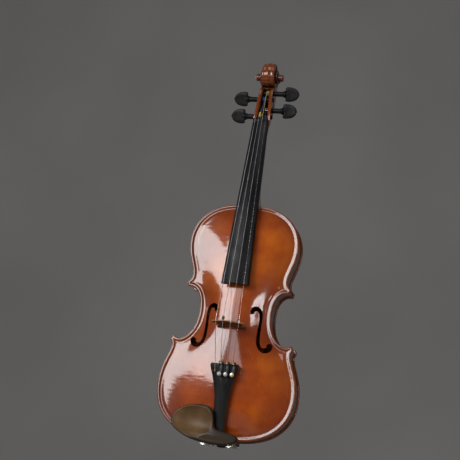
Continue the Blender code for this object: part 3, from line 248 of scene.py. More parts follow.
class Look:
    """A Principled material with short ways to add procedural nodes."""

    def __init__(self, name, roughness=0.5, metallic=0.0, coat=0.0, coat_roughness=0.05, ior=1.5, gleam=0.5):
        self.material = bpy.data.materials.new(name)
        self.material.use_nodes = True
        self.tree = self.material.node_tree
        self.shader = self.tree.nodes["Principled BSDF"]
        self.shader.inputs["Roughness"].default_value = roughness
        self.shader.inputs["Metallic"].default_value = metallic
        self.shader.inputs["Coat Weight"].default_value = coat
        self.shader.inputs["Coat Roughness"].default_value = coat_roughness
        self.shader.inputs["IOR"].default_value = ior
        self.shader.inputs["Specular IOR Level"].default_value = gleam
        self.place = self.tree.nodes.new("ShaderNodeTexCoord").outputs["Object"]

    def node(self, kind, **inputs):
        made = self.tree.nodes.new(kind)
        for name, value in inputs.items():
            self.put(made.inputs[name.replace("_", " ")], value)
        return made

    def put(self, socket, value):
        if isinstance(value, bpy.types.NodeSocket):
            self.tree.links.new(value, socket)
        elif isinstance(value, (tuple, list)) and len(value) == 3 and socket.type == "RGBA":
            socket.default_value = (*value, 1)
        else:
            socket.default_value = value

    def stretched(self, scale=(1, 1, 1), turn=(0, 0, 0)):
        return self.node("ShaderNodeMapping", Vector=self.place, Scale=scale, Rotation=turn).outputs[0]

    def noise(self, scale, detail=3.0, roughness=0.5, stretch=None, distortion=0.0, turn=(0, 0, 0)):
        vector = self.stretched(stretch, turn) if stretch else self.place
        made = self.node("ShaderNodeTexNoise", Vector=vector, Scale=scale, Detail=detail,
                         Roughness=roughness, Distortion=distortion)
        return made.outputs["Fac"]

    def wave(self, scale, direction="X", distortion=0.0, detail=2.0, detail_scale=1.0, stretch=None,
             turn=(0, 0, 0)):
        vector = self.stretched(stretch or (1, 1, 1), turn)
        made = self.node("ShaderNodeTexWave", Vector=vector, Scale=scale, Distortion=distortion,
                         Detail=detail)
        made.inputs["Detail Scale"].default_value = detail_scale
        made.bands_direction = direction
        return made.outputs["Fac"]

    def ramp(self, factor, stops, interpolation="LINEAR"):
        made = self.node("ShaderNodeValToRGB", Fac=factor)
        made.color_ramp.interpolation = interpolation
        elements = made.color_ramp.elements
        while len(elements) < len(stops):
            elements.new(0.5)
        for element, (place, colour) in zip(elements, stops):
            element.position = place
            value = (colour,) * 3 if isinstance(colour, (int, float)) else colour
            element.color = (*value, 1)
        return made.outputs["Color"]

    def mix(self, factor, first, second, blend="MIX"):
        made = self.tree.nodes.new("ShaderNodeMix")
        made.data_type = "RGBA"
        made.blend_type = blend
        self.put(made.inputs[0], factor)
        self.put(made.inputs[6], first)
        self.put(made.inputs[7], second)
        return made.outputs[2]

    def maths(self, operation, first, second=0.5):
        made = self.tree.nodes.new("ShaderNodeMath")
        made.operation = operation
        self.put(made.inputs[0], first)
        self.put(made.inputs[1], second)
        return made.outputs[0]

    def attribute(self, name):
        made = self.tree.nodes.new("ShaderNodeAttribute")
        made.attribute_name = name
        return made.outputs["Fac"]

    def colour(self, value):
        self.put(self.shader.inputs["Base Color"], value)

    def rough(self, value):
        self.put(self.shader.inputs["Roughness"], value)

    def bump(self, height, distance, strength=1.0, coat_too=False):
        made = self.node("ShaderNodeBump", Height=height, Distance=distance, Strength=strength)
        self.tree.links.new(made.outputs[0], self.shader.inputs["Normal"])
        if coat_too:
            self.tree.links.new(made.outputs[0], self.shader.inputs["Coat Normal"])


def wear_and_shade(look, colour, edge_colour, worn):
    """Antique shading from the distance to the plate's edge: darker borders, a bare line on the very edge."""
    edge = look.attribute("edge_mm")
    border = look.ramp(look.maths("DIVIDE", edge, 46), [(0.0, 0.92), (0.3, 0.6), (1.0, 0.0)])
    cloud = look.noise(14, detail=4, roughness=0.6)
    border = look.maths("MULTIPLY", border, look.ramp(cloud, [(0.3, 0.65), (0.7, 1.0)]))
    colour = look.mix(border, colour, edge_colour)
    scale = 8
    lines = look.maths("DIVIDE", edge, scale)
    black = look.ramp(lines, [(3.55 / scale, 0), (3.7 / scale, 1), (4.0 / scale, 1), (4.15 / scale, 0.25),
                              (4.4 / scale, 0.25), (4.55 / scale, 1), (4.85 / scale, 1), (5.0 / scale, 0)])
    colour = look.mix(look.maths("MULTIPLY", black, 0.85), colour, (0.025, 0.012, 0.006))
    rim = look.ramp(lines, [(0.0, 0.2), (0.5 / scale, 0.35), (1.0 / scale, 0.9), (2.0 / scale, 0)])
    patchy = look.ramp(look.noise(55, detail=3), [(0.35, 0.25), (0.6, 1.0)])
    return look.mix(look.maths("MULTIPLY", rim, look.maths("MULTIPLY", patchy, worn)), colour,
                    (0.26, 0.095, 0.028))


def spruce_varnish():
    look = Look("spruce_varnish", roughness=0.35, coat=1.0, coat_roughness=0.08, gleam=0.08)
    grain = look.wave(260, "X", distortion=1.6, detail=3, detail_scale=0.6, stretch=(1, 1, 0.035))
    rings = look.ramp(grain, [(0.0, 0.0), (0.72, 0.15), (0.95, 1.0)])
    drift = look.noise(9, detail=4, roughness=0.55)
    base = look.ramp(drift, [(0.34, (0.19, 0.023, 0.001)), (0.5, (0.34, 0.055, 0.003)),
                             (0.64, (0.54, 0.12, 0.006))])
    base = look.mix(look.maths("MULTIPLY", rings, 0.32), base, (0.16, 0.022, 0.003))
    flecks = look.noise(900, detail=2, stretch=(0.4, 1, 0.09))
    base = look.mix(look.ramp(flecks, [(0.58, 0.0), (0.75, 0.25)]), base, (0.54, 0.15, 0.015))
    look.colour(wear_and_shade(look, base, (0.085, 0.010, 0.002), 0.75))
    look.rough(look.ramp(look.noise(30, detail=4), [(0.3, 0.24), (0.7, 0.38)]))
    ripples = look.noise(170, detail=3, stretch=(0.3, 1, 1))
    look.bump(ripples, 0.0002, 0.5, coat_too=True)
    return look.material


def flamed(name, dark, light, deep, flame_scale=75, turn=(0, 0, 0), strength=0.55, roughness=0.3, edge=False,
           coat=1.0, direction="Z", painted_crevice_shade=False):
    """Varnished maple: bands of flame across the grain, which shift with the figure's waviness, and, where
    asked, painted shade in its crevices.
    """
    look = Look(name, roughness=roughness, coat=coat, coat_roughness=0.1, gleam=0.1)
    bands = look.wave(flame_scale, direction, distortion=4.5, detail=2.5, detail_scale=1.4, turn=turn)
    flame = look.ramp(bands, [(0.15, 0.0), (0.55, 0.6), (0.9, 1.0)])
    flame = look.maths("MULTIPLY", flame, look.ramp(look.noise(28, detail=3), [(0.3, 0.35), (0.65, 1.0)]))
    drift = look.noise(7, detail=4)
    base = look.mix(look.ramp(drift, [(0.3, 0.0), (0.7, 1.0)]), dark, light)
    base = look.mix(look.maths("MULTIPLY", flame, strength), base, deep)
    fibres = look.noise(700, detail=2, stretch=(1, 1, 0.05))
    base = look.mix(look.ramp(fibres, [(0.55, 0.0), (0.8, 0.35)]), base, deep)
    if edge:
        base = wear_and_shade(look, base, (0.10, 0.018, 0.004), 0.7)
    if painted_crevice_shade:
        # Painted shade: darkens the maple towards near black where the crevice attribute says a spot is
        # enclosed.
        crevice_shade_ramp = look.ramp(look.attribute("crevice"), [(0.1, 0.0), (0.42, 0.8), (0.7, 1.0)])
        base = look.mix(crevice_shade_ramp, base, (0.010, 0.004, 0.002))
    look.colour(base)
    look.rough(look.ramp(look.noise(40, detail=4), [(0.3, roughness - 0.06), (0.7, roughness + 0.08)]))
    look.bump(look.noise(240, detail=2), 0.00002, 0.4, coat_too=True)
    return look.material


def ebony(name="ebony", shine=0.28):
    look = Look(name, roughness=shine, gleam=0.13)
    pores = look.noise(900, detail=3, stretch=(1, 1, 0.06))
    streaks = look.noise(120, detail=3, stretch=(1, 1, 0.05))
    base = look.ramp(streaks, [(0.35, (0.004, 0.004, 0.005)), (0.7, (0.014, 0.013, 0.014))])
    base = look.mix(look.ramp(pores, [(0.6, 0.0), (0.8, 0.5)]), base, (0.026, 0.023, 0.022))
    # Painted highlight: a light grey line on the marked faces at the fingerboard's worn end edge.
    look.colour(look.mix(look.attribute("worn_edge_highlight"), base, (0.38, 0.36, 0.33)))
    look.rough(look.ramp(look.noise(60, detail=4), [(0.3, shine - 0.05), (0.7, shine + 0.12)]))
    look.bump(pores, 0.00005, 0.4)
    return look.material


def bare_wood(name="bare_spruce"):
    look = Look(name, roughness=0.7)
    grain = look.wave(240, "X", distortion=1.5, detail=3, stretch=(1, 1, 0.05))
    base = look.ramp(grain, [(0.2, (0.60, 0.42, 0.23)), (0.9, (0.40, 0.24, 0.11))])
    look.colour(look.mix(look.ramp(look.noise(20), [(0.4, 0.0), (0.7, 0.4)]), base, (0.34, 0.21, 0.11)))
    look.bump(grain, 0.0001, 0.4)
    return look.material


def bridge_maple():
    look = Look("bridge_maple", roughness=0.45, coat=0.15, coat_roughness=0.25, gleam=0.25)
    flecks = look.noise(420, detail=3, stretch=(0.25, 1, 1.2))
    # Painted shade: the maple gets the dark brown of the bridge's face in shadow, not the pale tan of lit
    # maple.
    base = look.ramp(flecks, [(0.35, (0.085, 0.032, 0.010)), (0.62, (0.125, 0.052, 0.017)),
                              (0.75, (0.055, 0.020, 0.007))])
    # Painted light: only the crown's upper edge gets the tan of lit maple.
    top = look.ramp(look.attribute("lit_top_edge"), [(0.0, 0.0), (1.0, 1.0)])
    look.colour(look.mix(top, base, (0.26, 0.135, 0.052)))
    look.bump(flecks, 0.00004, 0.4)
    return look.material


def chin_rest_wood():
    look = Look("chin_rest_wood", roughness=0.42, coat=0.06, coat_roughness=0.2, gleam=0.18)
    grain = look.noise(150, detail=4, stretch=(0.12, 1, 1), distortion=0.4)
    base = look.ramp(grain, [(0.3, (0.022, 0.012, 0.006)), (0.55, (0.050, 0.028, 0.012)),
                             (0.75, (0.085, 0.050, 0.022))])
    worn = look.ramp(look.noise(26, detail=4), [(0.42, 0.0), (0.7, 0.55)])
    # The dish's upturned face gets a lighter copy of the wood with worn patches; every other face, rim, bar
    # and legs, gets a darker copy as painted shade.
    light = look.mix(worn, look.mix(0.5, base, (0.12, 0.062, 0.022)), (0.20, 0.112, 0.040))
    dark = look.mix(0.6, base, (0.012, 0.008, 0.005))
    look.colour(look.mix(look.attribute("hollow"), dark, light))
    look.rough(look.ramp(look.noise(45, detail=4), [(0.3, 0.32), (0.7, 0.5)]))
    look.bump(grain, 0.00008, 0.35)
    return look.material


def metal(name, colour, roughness, scratch=0.5):
    look = Look(name, roughness=roughness, metallic=1.0)
    tarnish = look.noise(260, detail=4)
    dull = tuple(c * 0.62 for c in colour)
    look.colour(look.ramp(tarnish, [(0.35, colour), (0.75, dull)]))
    look.rough(look.ramp(look.noise(500, detail=3), [(0.3, roughness * 0.7), (0.7, roughness * 1.6)]))
    look.bump(look.noise(1500, detail=2), 0.000008, scratch)
    return look.material


def winding(name, colour, pitch_scale=1700):
    """Flat metal ribbon wound on a string: fine ridges across its length."""
    look = Look(name, roughness=0.3, metallic=1.0)
    ridges = look.wave(pitch_scale, "Z")
    dull = tuple(c * 0.55 for c in colour)
    look.colour(look.ramp(ridges, [(0.0, dull), (0.6, colour)]))
    look.bump(ridges, 0.00005, 0.6)
    return look.material


def plain(name, colour, roughness, speck=0.35, scale=300):
    look = Look(name, roughness=roughness)
    mottle = look.noise(scale, detail=3)
    look.colour(look.ramp(mottle, [(0.35, colour), (0.75, tuple(c * (1 + speck) for c in colour))]))
    look.rough(look.ramp(look.noise(scale * 2), [(0.3, roughness * 0.8), (0.7, min(1, roughness * 1.3))]))
    look.bump(mottle, 0.00004, 0.4)
    return look.material


def silk(name, colour):
    look = Look(name, roughness=0.6)
    thread = look.wave(2200, "Z", distortion=1.5)
    look.colour(look.ramp(thread, [(0.1, tuple(c * 0.45 for c in colour)), (0.7, colour)]))
    look.bump(thread, 0.00008, 0.8)
    return look.material


# ---- Mesh helpers -----------------------------------------------------------------------------

def surface(rows, close_rows=False, close_along=False, cap=False):
    """A mesh through rows of equally many points, optionally closed round and capped at the ends."""
    bm = bmesh.new()
    grid = [[bm.verts.new(p) for p in row] for row in rows]
    count = len(grid[0])
    lines = list(zip(grid, grid[1:]))
    if close_along:
        lines.append((grid[-1], grid[0]))
    for a, b in lines:
        for i in range(count if close_rows else count - 1):
            j = (i + 1) % count
            bm.faces.new((a[i], a[j], b[j], b[i]))
    if cap:
        bm.faces.new(grid[0])
        bm.faces.new(grid[-1])
    bmesh.ops.recalc_face_normals(bm, faces=bm.faces[:])
    return to_mesh(bm)


def to_mesh(bm, sharp=40):
    mesh = bpy.data.meshes.new("made")
    bm.to_mesh(mesh)
    bm.free()
    mesh.shade_smooth()
    if sharp:
        mesh.set_sharp_from_angle(angle=radians(sharp))
    return mesh


def lathe(profile, segments=40):
    """A turned mesh about Z through (radius, height) points; ends on the axis are closed to a point."""
    bm = bmesh.new()
    rings = []
    for radius, height in profile:
        if radius < 1e-7:
            rings.append([bm.verts.new((0, 0, height))])
        else:
            rings.append([bm.verts.new((radius * cos(a), radius * sin(a), height))
                          for a in (2 * pi * i / segments for i in range(segments))])
    for a, b in zip(rings, rings[1:]):
        for i in range(segments):
            j = (i + 1) % segments
            corners = [a[i % len(a)], a[j % len(a)], b[j % len(b)], b[i % len(b)]]
            unique = list(dict.fromkeys(corners))
            if len(unique) > 2:
                bm.faces.new(unique)
    bmesh.ops.recalc_face_normals(bm, faces=bm.faces[:])
    return to_mesh(bm, sharp=45)


def tube(points, radii, sides=12):
    """A round tube along points, with one radius or one for each point, and flat ends."""
    path = [Vector(p) for p in points]
    radii = radii if isinstance(radii, (list, tuple)) else [radii] * len(path)
    tangent = (path[1] - path[0]).normalized()
    side = tangent.orthogonal().normalized()
    rows = []
    for i, (place, radius) in enumerate(zip(path, radii)):
        ahead = path[min(i + 1, len(path) - 1)] - path[max(i - 1, 0)]
        tangent = ahead.normalized()
        side = (side - tangent * side.dot(tangent)).normalized()
        other = tangent.cross(side)
        rows.append([place + radius * (side * cos(a) + other * sin(a))
                     for a in (2 * pi * k / sides for k in range(sides))])
    return surface(rows, close_rows=True, cap=True)


def bevelled(mesh, width, angle=35, segments=2):
    """The mesh with its edges sharper than an angle rounded."""
    bm = bmesh.new()
    bm.from_mesh(mesh)
    bmesh.ops.remove_doubles(bm, verts=bm.verts[:], dist=0.002 * MM)
    bmesh.ops.dissolve_limit(bm, angle_limit=radians(0.5), verts=bm.verts[:], edges=bm.edges[:])
    sharp = [e for e in bm.edges if len(e.link_faces) == 2 and e.calc_face_angle(0) > radians(angle)]
    bmesh.ops.bevel(bm, geom=sharp, offset=width, segments=segments, profile=0.5, affect="EDGES",
                    clamp_overlap=True)
    return to_mesh(bm, sharp=35)


def slab(outlines, low, high, plane="front"):
    """A flat outline with holes, from low to high along the plane's third direction."""
    curve = bpy.data.curves.new("outline", "CURVE")
    curve.dimensions = "2D"
    curve.fill_mode = "BOTH"
    curve.extrude = (high - low) / 2
    for outline in outlines:
        spline = curve.splines.new("POLY")
        spline.points.add(len(outline) - 1)
        for point, (a, b) in zip(spline.points, outline):
            point.co = (a, b, 0, 1)
        spline.use_cyclic_u = True
    holder = bpy.data.objects.new("holder", curve)
    bpy.context.scene.collection.objects.link(holder)
    bpy.context.view_layer.update()
    mesh = bpy.data.meshes.new_from_object(holder.evaluated_get(bpy.context.evaluated_depsgraph_get()))
    bpy.data.objects.remove(holder, do_unlink=True)
    bm = bmesh.new()
    bm.from_mesh(mesh)
    bmesh.ops.remove_doubles(bm, verts=bm.verts[:], dist=0.002 * MM)
    bmesh.ops.translate(bm, verts=bm.verts[:], vec=(0, 0, (low + high) / 2))
    planes = {
        "front": Matrix(((1, 0, 0), (0, 0, 1), (0, 1, 0))),
        "side": Matrix(((0, 0, 1), (1, 0, 0), (0, 1, 0))),
        "end": Matrix(((1, 0, 0), (0, -1, 0), (0, 0, 1))),
        "flat": Matrix.Identity(3),
    }
    bmesh.ops.transform(bm, matrix=planes[plane].to_4x4(), verts=bm.verts[:])
    bmesh.ops.recalc_face_normals(bm, faces=bm.faces[:])
    return to_mesh(bm, sharp=35)


def block(low, high):
    bm = bmesh.new()
    bmesh.ops.create_cube(bm, size=1)
    bmesh.ops.scale(bm, vec=[b - a for a, b in zip(low, high)], verts=bm.verts[:])
    bmesh.ops.translate(bm, vec=[(a + b) / 2 for a, b in zip(low, high)], verts=bm.verts[:])
    return to_mesh(bm, sharp=35)


def joined(*meshes):
    bm = bmesh.new()
    for mesh in meshes:
        bm.from_mesh(mesh)
    return to_mesh(bm, sharp=None)


def mark_crevices(mesh, reach, count=48):
    """Marks how enclosed each corner of each face is, from 0 in the open to 1 deep inside, for painting shade
    into crevices.
    """
    bm = bmesh.new()
    bm.from_mesh(mesh)
    tree = BVHTree.FromBMesh(bm)
    bm.free()
    golden = pi * (3 - sqrt(5))
    around = []
    for i in range(count):
        height = 1 - (2 * i + 1) / count
        ring = sqrt(1 - height * height)
        around.append(Vector((ring * cos(golden * i), ring * sin(golden * i), height)))
    found = {}
    values = []
    for loop, normal in zip(mesh.loops, mesh.corner_normals):
        key = (loop.vertex_index, *(round(v, 2) for v in normal.vector))
        if key not in found:
            start = mesh.vertices[loop.vertex_index].co + normal.vector * 0.3 * MM
            rays = [ray for ray in around if ray.dot(normal.vector) > 0.1]
            found[key] = sum(tree.ray_cast(start, ray, reach)[0] is not None for ray in rays) / len(rays)
        values.append(found[key])
    made = mesh.attributes.new("crevice", "FLOAT", "CORNER")
    made.data.foreach_set("value", values)


def mark_faces(mesh, name, test):
    """Marks the corners of the faces that pass a test with 1, and the others with 0."""
    made = mesh.attributes.new(name, "FLOAT", "CORNER")
    for face in mesh.polygons:
        for index in face.loop_indices:
            made.data[index].value = float(test(face))


def moved(mesh, matrix):
    mesh.transform(matrix)
    return mesh


def put(name, mesh, matrix, look, body, nodes=()):
    """Makes a visible piece in its frame's place, riding on a body and standing for CAD nodes."""
    mesh.name = name
    mesh.transform(matrix)
    mesh.materials.clear()
    mesh.materials.append(look)
    made = bpy.data.objects.new(name, mesh)
    bpy.context.scene.collection.objects.link(made)
    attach(made, body)
    if nodes:
        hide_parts(*([nodes] if isinstance(nodes, str) else nodes))
    return made


def cut(target, mesh, operation="DIFFERENCE"):
    """Applies a Boolean to a mesh and gives the result."""
    a = bpy.data.objects.new("target", target)
    b = bpy.data.objects.new("cutter", mesh)
    for made in (a, b):
        bpy.context.scene.collection.objects.link(made)
    modifier = a.modifiers.new("cut", "BOOLEAN")
    modifier.operation = operation
    modifier.solver = "EXACT"
    modifier.object = b
    bpy.context.view_layer.update()
    result = bpy.data.meshes.new_from_object(a.evaluated_get(bpy.context.evaluated_depsgraph_get()))
    for made in (a, b):
        bpy.data.objects.remove(made, do_unlink=True)
    return result


# Points outside the bout curves, in mm, that steer their ends at the centre line
UPPER_GUIDE = (-22, 354.2)
LOWER_GUIDE = (-14, 0.2)


LAID_DOWN = Matrix.Rotation(pi / 2, 4, "X")  # turns a lathe's axis from +Z to -Y
ARCH_FOOT = 16 * MM  # over which an arch's ends start softly
BEAD = 1.9 * MM  # radius of the plates' rounded edge
CHANNEL_PLACE, CHANNEL_WIDTH, CHANNEL_DEPTH = 6.4 * MM, 2.4 * MM, 0.6 * MM  # the hollow just inside the bead
HOLE_PITCH = 0.9 * MM  # between mesh points round a sound hole
HOLE_RING = 2.4 * MM  # how far out the second ring of points lies
HOLE_MARGIN = 4 * MM  # where the plate's own grid starts


# ---- Outlines ---------------------------------------------------------------------------------

def smooth(points, per_span, before=None, after=None, scale=MM):
    """A centripetal Catmull-Rom curve through the points; before and after steer its two ends."""
    path = [Vector(p) for p in points]
    path.insert(0, Vector(before) if before else 2 * path[0] - path[1])
    path.append(Vector(after) if after else 2 * path[-1] - path[-2])
    curve = []
    for a, b, c, d in zip(path, path[1:], path[2:], path[3:]):
        tb = sqrt((b - a).length)
        tc = tb + sqrt((c - b).length)
        td = tc + sqrt((d - c).length)
        for step in range(per_span):
            t = tb + (tc - tb) * step / per_span
            ab = a.lerp(b, t / tb)
            bc = b.lerp(c, (t - tb) / (tc - tb))
            cd = c.lerp(d, (t - tc) / (td - tc))
            left = ab.lerp(bc, t / tc)
            right = bc.lerp(cd, (t - tb) / (td - tb))
            curve.append(left.lerp(right, (t - tb) / (tc - tb)))
    curve.append(path[-2])
    return [tuple(v * scale for v in p) for p in curve]


def smooth_loop(points, per_span, scale=MM):
    """A closed smooth curve through the points."""
    line = smooth([points[-1], *points, points[0], points[1]], per_span, scale=scale)
    return line[per_span:-per_span - 1]


def plate_outline(per_span=10):
    half = smooth(UPPER_BOUT, per_span, before=UPPER_GUIDE)
    half += smooth(MIDDLE_BOUT, per_span)
    half += smooth(LOWER_BOUT, per_span, after=LOWER_GUIDE)
    return half + [(-x, z) for x, z in reversed(half[1:-1])]


def spaced(loop, pitch, closed=True):
    """The same line with points about pitch apart."""
    line = np.array(loop + loop[:1] if closed else loop)
    lengths = np.concatenate([[0], np.cumsum(np.hypot(*np.diff(line, axis=0).T))])
    count = max(int(lengths[-1] / pitch), 3)
    wanted = np.linspace(0, lengths[-1], count + 1)
    found = np.stack([np.interp(wanted, lengths, line[:, 0]), np.interp(wanted, lengths, line[:, 1])], 1)
    return [tuple(p) for p in (found[:-1] if closed else found)]


def distances(points, loop):
    """Distance of each point to a closed loop."""
    p = np.asarray(points, float)
    a = np.asarray(loop, float)
    d = np.roll(a, -1, axis=0) - a
    best = np.full(len(p), 1e9)
    for start, step in zip(a, d):
        t = np.clip(((p - start) @ step) / max(step @ step, 1e-18), 0, 1)
        gap = p - start - t[:, None] * step
        best = np.minimum(best, np.hypot(gap[:, 0], gap[:, 1]))
    return best


def inside(points, loop):
    p = np.asarray(points, float)
    hit = np.zeros(len(p), bool)
    for (ax, az), (bx, bz) in zip(loop, loop[1:] + loop[:1]):
        if az != bz:
            crosses = ((az > p[:, 1]) != (bz > p[:, 1])) & (p[:, 0] < ax + (p[:, 1] - az)
                                                            * (bx - ax) / (bz - az))
            hit ^= crosses
    return hit


def inset(loop, distance):
    """The clockwise loop moved inwards, without the points that would cross over at the corners."""
    line = np.asarray(loop)
    step = np.roll(line, -1, axis=0) - np.roll(line, 1, axis=0)
    step /= np.hypot(step[:, 0], step[:, 1])[:, None]
    places = line + distance * np.stack([step[:, 1], -step[:, 0]], 1)
    keep = distances(places, loop) > distance * 0.985
    return [tuple(p) for p in places[keep]]


def mirrored(outline):
    return [(-x, z) for x, z in reversed(outline)]


def sound_hole(per_span=8):
    def eye_arc(eye, start, end, count):
        x, z, radius = eye
        angles = [radians(start + (end - start) * i / count) for i in range(1, count)]
        return [((x + radius * cos(a)) * MM, (z + radius * sin(a)) * MM) for a in angles]

    outer = smooth(HOLE_OUTER, per_span)
    inner = smooth(HOLE_INNER, per_span)
    return outer + eye_arc(LOWER_EYE, 206, -17, 26) + inner[::-1] + eye_arc(UPPER_EYE, 22, -206, 22)


def area(loop):
    line = np.array(loop)
    after = np.roll(line, -1, axis=0)
    return float(np.sum(line[:, 0] * after[:, 1] - after[:, 0] * line[:, 1])) / 2


def treble_half(loop):
    """The part of a clockwise loop from the top centre to the bottom centre."""
    return [(max(x, 0), z) for x, z in loop if x > -0.01 * MM]


def lengths_of(line):
    return np.concatenate([[0], np.cumsum(np.hypot(*np.diff(np.array(line), axis=0).T))])


def nearest_station(line, place):
    return float(lengths_of(line)[np.argmin(np.hypot(*(np.array(line) - place).T))])


def stretch(line, start, end):
    """The part of a line between two distances along it."""
    lengths = lengths_of(line)
    points = np.array(line)

    def at(wanted):
        return (float(np.interp(wanted, lengths, points[:, 0])),
                float(np.interp(wanted, lengths, points[:, 1])))

    margin = 0.2 * MM
    return [at(start)] + [p for p, s in zip(line, lengths) if start + margin < s < end - margin] + [at(end)]


# ---- Arched sheets ----------------------------------------------------------------------------

FIELD_LINE = np.array(smooth(UPPER_BOUT[:-2] + MIDDLE_BOUT[2:-3] + LOWER_BOUT[3:], 8, before=UPPER_GUIDE,
                             after=LOWER_GUIDE))[::-1]


def arch(x, z, rise):
    """How far a plate's outer face stands above its edge: a long arch times a cross arch with a soft foot."""
    half = np.maximum(np.interp(z, FIELD_LINE[:, 1], FIELD_LINE[:, 0]) - EDGE_FLAT, 1e-5)
    end = np.minimum(z, BODY_LENGTH - z) - EDGE_FLAT
    u = np.clip(np.abs(x) / half, 0, 1)
    across = (1 - u ** 2.3) ** 1.7
    s = np.clip(end / ARCH_RUN, 0, 1)
    foot = np.clip(end / ARCH_FOOT, 0, 1)
    along = (1 - (1 - s) ** 2.2) * foot * foot * (3 - 2 * foot)
    return rise * across * along


def rounded_in(d, radius):
    """How far a rounded edge has fallen away at a distance d from it."""
    t = np.clip(d / radius, 0, 1)
    return radius - radius * np.sqrt(np.clip(1 - (1 - t) ** 2, 0, 1))


def rim_height(d):
    """The plate's outer face near its edge: a rounded bead and then a shallow channel."""
    channel = CHANNEL_DEPTH * np.exp(-((d - CHANNEL_PLACE) / CHANNEL_WIDTH) ** 2)
    return PLATE_EDGE - rounded_in(d, BEAD) - channel * np.clip((d - BEAD) / (1.5 * MM), 0, 1)


def grown(loop, distance):
    """The points round a loop at a distance outside it."""
    line = np.asarray(loop)
    step = np.roll(line, -1, axis=0) - np.roll(line, 1, axis=0)
    step /= np.hypot(step[:, 0], step[:, 1])[:, None]
    side = np.stack([step[:, 1], -step[:, 0]], 1)
    found = []
    for sign in (1, -1):
        places = line + sign * distance * side
        keep = (distances(places, loop) > distance * 0.97) & ~inside(places, loop)
        found += [tuple(p) for p in places[keep]]
    return found


def sheet(outline, holes, front, under, near, pitch, edge_pitch=1.3 * MM, smooth_from=2.4 * MM):
    """A closed sheet: its outer face, towards -Y, at height front(x, z, d), its inner one at under(x, z, d),
    d being the distance to the outline; near lists how far in its first rings of points lie."""
    outline = spaced(outline, edge_pitch)
    holes = [spaced(hole, HOLE_PITCH) for hole in holes]
    points, edges = [], []
    for loop in [outline] + holes:
        first = len(points)
        points += loop
        edges += [(first + i, first + (i + 1) % len(loop)) for i in range(len(loop))]
    free = []
    for depth in near:
        ring = inset(outline, depth)
        free += ring if depth < 4 * MM else ring[::2]
    for hole in holes:
        free += grown(hole, HOLE_PITCH) + grown(hole, HOLE_RING)[::2]
    low, high = np.min(outline, axis=0), np.max(outline, axis=0)
    row_step = pitch * 0.87
    rows = np.arange(low[1] + row_step, high[1], row_step)
    grid = [(x + 0.5 * pitch * (i % 2), z) for i,
            z in enumerate(rows) for x in np.arange(low[0], high[0], pitch)]
    grid = np.array(grid)
    keep = inside(grid, outline) & (distances(grid, outline) > near[-1] + 0.6 * pitch)
    for hole in holes:
        keep &= distances(grid, hole) > HOLE_MARGIN
    free = np.concatenate([np.array(free), grid[keep]])
    keep = inside(free, outline)
    for hole in holes:
        keep &= ~inside(free, hole) & (distances(free, hole) > 0.55 * MM)
    points += [tuple(p) for p in free[keep]]
    flat, _, faces, _, _, _ = delaunay_2d_cdt([Vector(p) for p in points], edges, [], 0, 1e-7)
    flat = np.array([(p.x, p.y) for p in flat])
    triangles = np.array([f for f in faces if len(f) == 3])
    middles = flat[triangles].mean(axis=1)
    keep = inside(middles, outline)
    for hole in holes:
        keep &= ~inside(middles, hole)
    used, index = np.unique(triangles[keep], return_inverse=True)
    flat = flat[used]
    triangles = index.reshape(-1, 3)
    d = distances(flat, outline)
    step = 0.15 * MM
    slopes = []
    for move in ((step, 0), (0, step)):
        ahead, behind = flat + move, flat - move
        rise = front(*ahead.T, distances(ahead, outline)) - front(*behind.T, distances(behind, outline))
        slopes.append(rise / (2 * step))
    normals = np.stack([-slopes[0], -np.ones(len(flat)), -slopes[1]], 1)
    normals /= np.linalg.norm(normals, axis=1)[:, None]

    count = len(flat)
    faces_y = np.concatenate([-front(*flat.T, d), -under(*flat.T, d)])
    verts = np.stack([np.tile(flat[:, 0], 2), faces_y, np.tile(flat[:, 1], 2)], 1)
    a, b, c = (flat[triangles[:, i]] for i in range(3))
    turn = (b[:, 0] - a[:, 0]) * (c[:, 1] - a[:, 1]) - (b[:, 1] - a[:, 1]) * (c[:, 0] - a[:, 0])
    triangles = np.where((turn > 0)[:, None], triangles, triangles[:, ::-1])
    sides = np.concatenate([triangles[:, [0, 1]], triangles[:, [1, 2]], triangles[:, [2, 0]]])
    seen = {tuple(e) for e in sides}
    walls = [(i + count, j + count, j, i) for i, j in seen if (j, i) not in seen]
    polygons = [tuple(t) for t in triangles] + [(k + count, j + count, i + count) for i, j,
                                                k in triangles] + walls
    mesh = bpy.data.meshes.new("sheet")
    mesh.from_pydata([tuple(v) for v in verts], [], [tuple(int(i) for i in p) for p in polygons])
    mesh.shade_smooth()
    mesh.set_sharp_from_angle(angle=radians(50))
    edge = mesh.attributes.new("edge_mm", "FLOAT", "POINT")
    edge.data.foreach_set("value", np.tile(d, 2).astype(np.float32) / MM)
    corner_normals = np.array([tuple(n.vector) for n in mesh.corner_normals])
    loops = np.zeros(len(mesh.loops), int)
    mesh.loops.foreach_get("vertex_index", loops)
    exact = (np.arange(len(loops)) < 3 * len(triangles)) & (np.tile(d, 2)[loops] > smooth_from)
    corner_normals[exact] = normals[loops[exact]]
    mesh.normals_split_custom_set([tuple(n) for n in corner_normals])
    return mesh


PLATE_RINGS = [depth * MM for depth in (0.25, 0.7, 1.3, 2.1, 3.0, 3.7, 4.2, 4.8, 5.8, 7.2, 9.2, 12)]


def plate(outline, holes, rise):
    """An arched plate with its gluing face at y = 0 and its outer face towards -Y."""
    def front(x, z, d):
        return rim_height(d) + arch(x, z, rise)

    def under(x, z, d):
        raised = arch(x, z, rise)
        thickness = PLATE_FIELD + (PLATE_EDGE - PLATE_FIELD) * np.clip(1 - raised / (2 * MM), 0, 1)
        return np.where(d < EDGE_FLAT, rounded_in(d, 1.1 * MM),
                        np.maximum(PLATE_EDGE + raised - thickness, 0))

    return sheet(outline, holes, front, under, PLATE_RINGS, 3.6 * MM)


